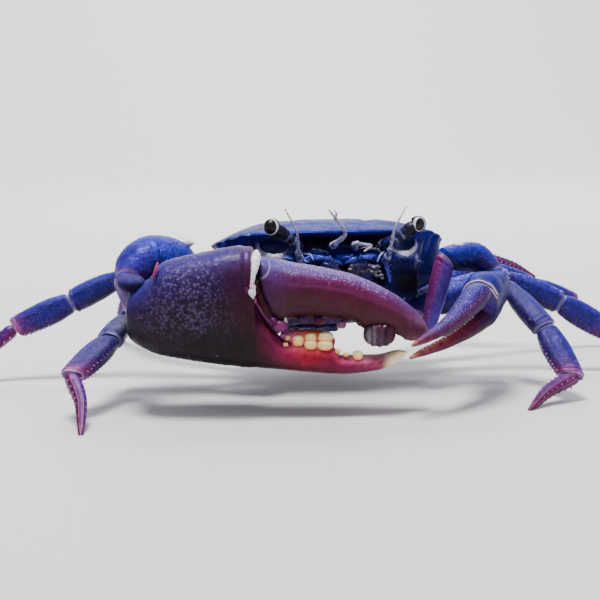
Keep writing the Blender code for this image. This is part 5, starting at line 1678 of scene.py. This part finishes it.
stalkPaint = makeShell(
    "stalkPaint", "pale_skin",
    ((0, 40, 38, 96), (0.4, 34, 32, 74), (0.45, 120, 124, 190), (0.5, 30, 28, 62), (0.6, 28, 26, 56),
     (0.64, 130, 134, 190), (0.69, 26, 24, 50), (1, 22, 20, 38)),
    (0.2, 0.8, (0, 56, 62, 160), (0.38, 44, 46, 116), (0.45, 130, 136, 196), (0.5, 36, 34, 84),
     (0.6, 34, 32, 76), (0.64, 96, 100, 160), (0.69, 32, 30, 70), (1, 26, 24, 50)),
    mottle=0.6, mottleSize=0.35, grainDepth=0.02, wander=0.35, wanderSize=0.7, tone=(0.85, 1.05),
)
feelerPaint = makeShell(
    "feelerPaint", "pale_skin",
    ((0, 44, 46, 120), (0.12, 60, 62, 140), (0.16, 150, 152, 206), (0.2, 58, 60, 140),
     (0.33, 150, 150, 200), (0.45, 140, 136, 180), (1, 190, 188, 212)),
    (0.1, 1, (0, 62, 66, 160), (0.11, 84, 88, 180), (0.16, 216, 220, 244), (0.2, 76, 80, 176),
     (0.33, 206, 208, 236), (0.45, 190, 188, 220), (1, 230, 228, 240)),
    mottle=0.6, mottleSize=0.4, wander=0.3, wanderSize=0.5, grainDepth=0.010, tone=(1.0, 1.0), metal=0.0,
)
lobeBlue = makeShell(
    "lobeBlue", "pale_skin",
    ((0, 24, 26, 90), (1, 28, 26, 84)),
    (-0.2, 0.8, (0, 44, 54, 176), (1, 48, 56, 180)),
    (0.6, 0.5, (0, 70, 84, 216), (1, 76, 90, 220)),
    mottle=0.6, mottleSize=0.5, roughness=(0.2, 0.35), coat=0.6, coatRoughness=0.05, wetDepth=0.5,
    wetSize=0.35, tone=(0.85, 1.1),
)
wetSkin = makeShell(
    "wetSkin", "pale_skin",
    ((0, 36, 32, 50), (1, 40, 36, 56)),
    (0.1, 0.9, (0, 104, 102, 134), (1, 136, 134, 166)),
    mottle=0.7, mottleSize=0.5, roughness=(0.12, 0.25), coat=1.0, coatRoughness=0.03, wetDepth=0.6,
    wetSize=0.35, metal=0.0, tone=(0.9, 1.0),
)


def feelerRelief(points, t, angle):
    # short joints near the root, and many fine rings further out
    joints = np.cos(t * 2 * math.pi * 7) * 0.10 + 0.12 * noiseAt(points, 0.6, 5.0)
    rings = np.cos(t * 2 * math.pi * 38) * ramp(t, 0.40, 0.5) * 0.035
    return joints * (1 - ramp(t, 0.38, 0.46)) + rings, {}


def makeEye(side, sign):
    root, bend, eye = (fromBody((sign * x, y, z)) for x, y, z in head["eyePlaces"])
    way = unit(eye - bend)
    end = eye - way * (head["eyeRadii"][0] * 0.35 + gap)
    stalk = Limb((root, bend, end), level, taper(*head["stalk"]), squareness=2.0)

    def stalkRelief(points, t, angle):
        lift = 0.05 * noiseAt(points, 0.7, 2.0) - 0.10 * peak(t - 0.48, 0.04)
        return lift - 0.08 * peak(t - 0.78, 0.03), {}

    makeLimb("eyestalk" + side.title(), stalk, 70, 48, stalkPaint, ["eyestalk_" + side], stalkRelief,
             start=plain, end=((0.97, 0.25), (0.92, 0.42), (0.80, 0.45), (0.5, 0.2)))
    front = unit(np.cross(way, level))
    axes = (front, np.cross(front, way), way)
    radii = np.array(head["eyeRadii"])
    points, faces = ball(eye, axes, radii, 96, 64)
    over = (points - end) @ way - gap
    points = points - way * np.minimum(over, 0)[:, None]
    finishPiece(makeMesh("eye" + side.title(), points, faces), eyePaint, ["eye_" + side])
    # the pale ring round the pupil, partly a painted highlight of the cornea's rim
    look, forward, wide, tall, thickest = head["rings"][side]
    steps, sides = head["ringDetail"]
    look = unit(np.array(look))
    across = unit(np.cross(look, level))
    upward = np.cross(across, look)
    turns = np.linspace(0, 2 * math.pi, steps + 1)
    ring = []
    for turn in turns:
        ring.append(look * forward + across * math.cos(turn) * wide + upward * math.sin(turn) * tall)
    local = np.array([[p @ axis for axis in axes] for p in ring]) / radii
    ring = eye + unit(local) * radii @ np.array(axes)
    thick = 0.09 + 0.24 * np.maximum(0, np.cos(turns - thickest))
    rings = []
    for k in range(steps):
        along = unit(ring[(k + 1) % steps] - ring[k - 1])
        out = unit(ring[k] - eye)
        beside = np.cross(along, out)
        rings.append([ring[k] + beside * math.cos(a) * thick[k] + out * math.sin(a) * 0.06
                      for a in np.linspace(0, 2 * math.pi, sides, endpoint=False)])
    rings = np.array(rings)
    index = np.arange(steps * sides).reshape(steps, sides)
    after = np.roll(index, -1, 1)
    nextOne = np.roll(index, -1, 0)
    quads = np.stack((index, nextOne, np.roll(nextOne, -1, 1), after), -1).reshape(-1, 4)
    flat = rings.reshape(-1, 3)
    a, b, c = (flat[quads[:, k]] for k in (0, 1, 2))
    middle = np.repeat(rings.mean(1), sides, 0)
    if (np.cross(b - a, c - a) * (flat[quads].mean(1) - middle)).sum() < 0:
        quads = quads[:, ::-1]
    finishPiece(makeMesh("eyeRing" + side.title(), flat, quads), whiteSkin)


def mouthRelief(points, t, angle):
    lift = 0.04 * noiseAt(points, 1.2, 2.0) - 0.22 * peak(t - 0.60, 0.014)
    lift -= 0.14 * ridges(angle, (75,), 0.12) * (1 - ramp(t, 0.5, 0.58))
    return lift, {"pale": 0.25 * ramp(t, 0.9, 1), "grain": 0.2 + 0 * t}


def makeMouth(side, sign):
    path = [fromBody((sign * x, y, z)) for x, y, z in head["mouthPath"]]
    limb = Limb(path, (0, -1, 0), taper(*head["mouth"]), squareness=3.2)
    label = "maxilliped" + side.title()
    made = makeLimb(label, limb, 130, 84, mouthPaint, ["maxilliped_" + side], mouthRelief, plain, plain)
    addGrains(made, grainPaint, 1.5, 0.04, 0.07, seed=13)
    chance = np.random.default_rng(31)
    turn = (0 if sign < 0 else 180) + chance.uniform(-14, 20, 150)
    at, out, along = onSurface(limb, chance.uniform(0.02, 0.98, 150), turn)
    lean = along * chance.uniform(-0.2, 0.8, (150, 1)) + np.array((0, -0.5, 0))
    fringe = [(at, out + lean, chance.uniform(0.5, 1.0, 150))]
    # the feathery palps that lie over the mouth
    top = limb.centre(np.array((0.97,)))[0]
    path = [top + (sign * x, y, z) for x, y, z in head["palpPath"]]
    palp = Limb(path, (0, -1, 0.4), taper(*head["palp"]), squareness=2.0)
    makeLimb(label + "Palp", palp, 80, 32, palpPaint, start=plain, end=tip)
    at, out, along = onSurface(palp, chance.uniform(0.35, 1.0, 170), chance.uniform(0, 360, 170))
    fringe.append((at, out * 0.8 + along * 1.2, chance.uniform(0.7, 1.5, 170)))
    addThorns(label + "Fringe", fringe, hairPaint, 0.9, 0.035, 4)


palpPaint = makeShell(
    "palpPaint", "pale_skin",
    ((0, 40, 38, 110), (0.5, 56, 54, 130), (1, 120, 120, 180)),
    mottle=0.3, mottleSize=0.5, roughness=(0.2, 0.35), grainDepth=0.02,
)
mouthPaint = makeShell(
    "mouthPaint", "violet_shell",
    ((0, 60, 44, 100), (0.6, 44, 36, 104), (1, 36, 34, 110)),
    (0.2, 1, (0, 70, 52, 120), (0.6, 52, 44, 130), (1, 44, 44, 140)),
)
for side, sign in bothSides:
    makeEye(side, sign)
    makeMouth(side, sign)
for name, path in head["feelers"].items():
    kind, side = name.split("_")
    feeler = Limb(path, (0, 1, 0.3), taper(*head[kind], head["slimness"][kind]), squareness=2.0)
    makeLimb(kind + side.title(), feeler, 180, 16, feelerPaint, [name], feelerRelief, plain, stump)
fork = Limb(head["forkPath"], (0, 1, 0.3), taper(*head["fork"]), squareness=2.0)
makeLimb("antennuleFork", fork, 40, 16, feelerPaint, start=plain, end=tip)


def makeFace():
    # the white crescent in each orbit, and the lobes, pale lines and beads between the orbits and the mouth,
    # some of them painted glints
    atX, atZ, halfX, halfZ = face["orbit"]
    first, last = face["crescent"]
    forward = np.array((0.0, -1.0, 0.0))
    for side, sign in bothSides:
        path = []
        for turn in np.radians(np.linspace(last, first, 19)):
            x = atX + halfX * 0.94 * math.cos(turn)
            path.append(onFace(sign * x, atZ + halfZ * 0.96 * math.sin(turn), 0.3))
        path = [sum(path[max(0, k - 1):k + 2]) / len(path[max(0, k - 1):k + 2]) for k in range(len(path))]
        sections = [(t, -0.3, 0.3, half) for t, half in face["crescentWidth"]]
        lining = Limb(path, forward, sections, squareness=2.0)
        makeLimb("orbitLining" + side.title(), lining, 90, 24, liningPaint, (), skinRelief, tip, tip)

    def bandRelief(points, t, angle):
        return layers(points, (0.30, 0.9, 6.0), (0.12, 0.4, 1.0)) * width, {}

    for number, (paint, width, out, line) in enumerate(face["bands"]):
        path = [onFace(x, z, out) for x, z in line]
        band = Limb(path, forward, taper(width, width, face["bandShape"]), squareness=2.0)
        surface = lobeBlue if paint == "blue" else chainPaint
        makeLimb(f"faceBand{number + 1}", band, 90, 28, surface, (), bandRelief, tip, tip)
    chance = np.random.default_rng(41)
    for name, surface in (("lumps", wetSkin), ("dots", chainPaint)):
        shapes = []
        for x, z, *forwardAt, wide, high, count, largest in face[name]:
            for dx, dz, size, turn in chance.uniform(-1, 1, (count, 4)):
                cosine, sine = math.cos(turn * 0.9), math.sin(turn * 0.9)
                tilted = ((cosine, 0, sine), (0, -1.0, 0), (-sine, 0, cosine))
                centre = onFace(x + dx * wide, z + dz * high, 0.05)
                if forwardAt:
                    centre = fromBody((x + dx * wide, forwardAt[0], z + dz * high))
                radius = largest * (0.7 + 0.3 * size)
                points, faces = ball(centre, tilted, (radius * 1.3, radius * 0.8, radius * 0.8), 24, 16)
                bumpy = 1 + (0.5 * noiseAt(points, 0.7, 3.0) + 0.2 * noiseAt(points, 0.3, 7.0))[:, None]
                shapes.append((centre + (points - centre) * bumpy, faces))
        makeRow("face" + name.title(), shapes, surface)


# chainPaint: the pale lines, chains and dots of the face, some of which are painted glints
chainPaint = makeShell(
    "chainPaint", "pale_skin",
    ((0, 70, 74, 170), (0.5, 110, 114, 196), (1, 74, 76, 170)),
    (0.1, 0.9, (0, 150, 154, 220), (0.5, 220, 224, 246), (1, 150, 154, 220)),
    mottle=0.6, mottleSize=0.4, roughness=(0.2, 0.35), coat=0.4, coatRoughness=0.06, metal=0.0,
    tone=(0.9, 1.05),
)
liningPaint = makeShell(
    "liningPaint", "pale_skin",
    ((0, 120, 124, 190), (0.3, 206, 214, 244), (0.7, 226, 232, 250), (1, 120, 124, 196)),
    (0.4, 1, (0, 130, 130, 200), (0.3, 226, 232, 250), (0.7, 240, 244, 252), (1, 130, 130, 200)),
    mottle=0.12, mottleSize=0.8, roughness=(0.3, 0.45), metal=0.0, tone=(1.0, 1.0),
)
makeFace()
print("head made")


# Breast plates and tail flap
under = {
    "plates": ((-12.95, 13.0, 13.4), (-14.4, 14.2, 14.6), (-16.8, 13.4, 13.0), (-17.6, 12.0, 10.5)),
    "centreY": 1.0,
    "seams": (-7.2, -3.4, 0.6, 4.6, 8.4),
    "coxa": (2.3, 2.1, ((0, 1, 1), (0.85, 1, 1), (1, 0.82, 0.82))),
    "tailPath": ((20.6, -4.2), (21.3, -9.0), (19.4, -14.6), (14.0, -18.9), (3.0, -19.0), (-8.0, -18.8)),
    "tail": (  # the end of each plate: share along, half width, thickness
        (0.10, 8.6, 1.6), (0.22, 9.0, 1.7), (0.36, 9.2, 1.7), (0.47, 8.0, 1.6), (0.60, 5.6, 1.5),
        (0.84, 3.3, 1.4), (1.0, 1.4, 1.2),
    ),
    "step": 0.25,
}
underPaint = makeShell(
    "underPaint", "violet_shell",
    ((0, 84, 62, 112), (0.5, 98, 72, 122), (1, 84, 62, 112)),
    (0.2, 1, (0, 62, 46, 108), (0.5, 66, 50, 112), (1, 62, 46, 108)),
    speck=(150, 130, 190), speckStrength=0.35,
)
tailPaint = makeShell(
    "tailPaint", "violet_shell",
    ((0, 46, 40, 116), (0.3, 56, 44, 116), (0.5, 84, 62, 118), (1, 98, 72, 122)),
    (0.2, 1, (0, 50, 48, 150), (0.3, 54, 46, 140), (0.5, 72, 56, 126), (1, 78, 60, 124)),
    pale=(110, 112, 200), dark=(14, 10, 34), speck=(120, 116, 200), speckStrength=0.3,
)


def makeThorax():
    turns = np.linspace(0, 2 * math.pi, 160, endpoint=False)
    table = np.array(under["plates"])
    places = np.linspace(0, 1, len(table))
    middle = np.array((0, under["centreY"], 0))
    rings = []
    for s in np.linspace(0, 1, 70):
        height, length, width = smoothCurve(places, table, np.array((s,)))[0]
        y = under["centreY"] + length * np.sin(turns)
        rings.append(np.stack((width * np.cos(turns), y, height + 0 * turns), -1))
    last = rings[-1]
    for share in np.linspace(1, 0.05, 60)[1:]:
        # the flat underside: plates with a suture between them, running in from the legs
        ring = middle + (last - middle) * share
        ring[:, 2] = last[0, 2]
        depth = np.zeros(len(turns))
        for seam in under["seams"]:
            bow = seam + 0.02 * ring[:, 0] ** 2
            depth += 0.28 * peak(ring[:, 1] - bow, 0.28) * ramp(np.abs(ring[:, 0]), 2.5, 4.0)
        depth += 0.5 * peak(ring[:, 0], 3.4) * ramp(ring[:, 1], -9, -7)
        ring[:, 2] += depth
        rings.append(ring)
    points, faces = gridShape(fromBody(np.array(rings)))
    spread = np.repeat(np.linspace(0, 1, len(rings)), len(turns))
    values = {
        "along": np.append(spread, (0, 1)), "high": np.full(len(points), -0.3),
        "grain": np.full(len(points), 0.2),
    }
    made = finishPiece(makeMesh("breastPlates", points, faces, values), underPaint, ["thorax"])
    addGrains(made, grainPaint, 1.2, 0.05, 0.09, seed=17, name="breastGrains")
    for number, joints in enumerate([*legs["joints"].values(), *arms.values()]):
        hip = np.array(joints[0])
        way = unit(np.array(joints[1]) - hip)
        root = np.array((hip[0] * 0.5, hip[1] * 0.7, hip[2] - 0.3))
        limb = Limb((root, hip), level, taper(*under["coxa"]), (None, way))
        makeLimb(f"coxa{number + 1}", limb, 60, 48, underPaint, relief=carpusRelief, start=plain)


def makeTail():
    sections = [(0.0, -0.5, 0.5, 8.0)]
    for share, halfWide, thick in under["tail"]:
        sections.append((share - 0.015, -thick / 2, thick / 2, halfWide))
        sections.append((share, -thick / 2, thick / 2 - under["step"], halfWide - under["step"]))
    path = [fromBody((0, y, z)) for y, z in under["tailPath"]]
    limb = Limb(path, (0, -1, 0.35), sections, squareness=2.6)

    def tailRelief(points, t, angle):
        seams = sum(peak(t - share, 0.007) for share, _, _ in under["tail"][:-1])
        outer = np.maximum(0, np.sin(angle))
        lift = layers(points, (0.06, 1.6, 0), (0.02, 0.5, 0)) + 0.35 * outer**4 - 0.25 * seams
        ends = [0.0, *(share for share, _, _ in under["tail"])]
        plate = np.interp(t, ends, np.arange(len(ends)))
        bulge = np.abs(np.sin(math.pi * plate))
        lift += 0.45 * bulge * outer
        lift -= (1.0 - 0.7 * bulge) * np.abs(np.cos(angle)) ** 4
        pale = 0.12 * outer * (1 - ramp(seams, 0, 0.3))
        return lift, {"grain": 0.3 + 0 * t, "dark": 0.7 * seams, "pale": pale}

    made = makeLimb("tailFlap", limb, 220, 92, tailPaint, ["abdomen"], tailRelief, plain, tip)
    addGrains(made, grainPaint, 1.0, 0.04, 0.08, seed=19, name="tailGrains")


makeThorax()
makeTail()
print("underside made")
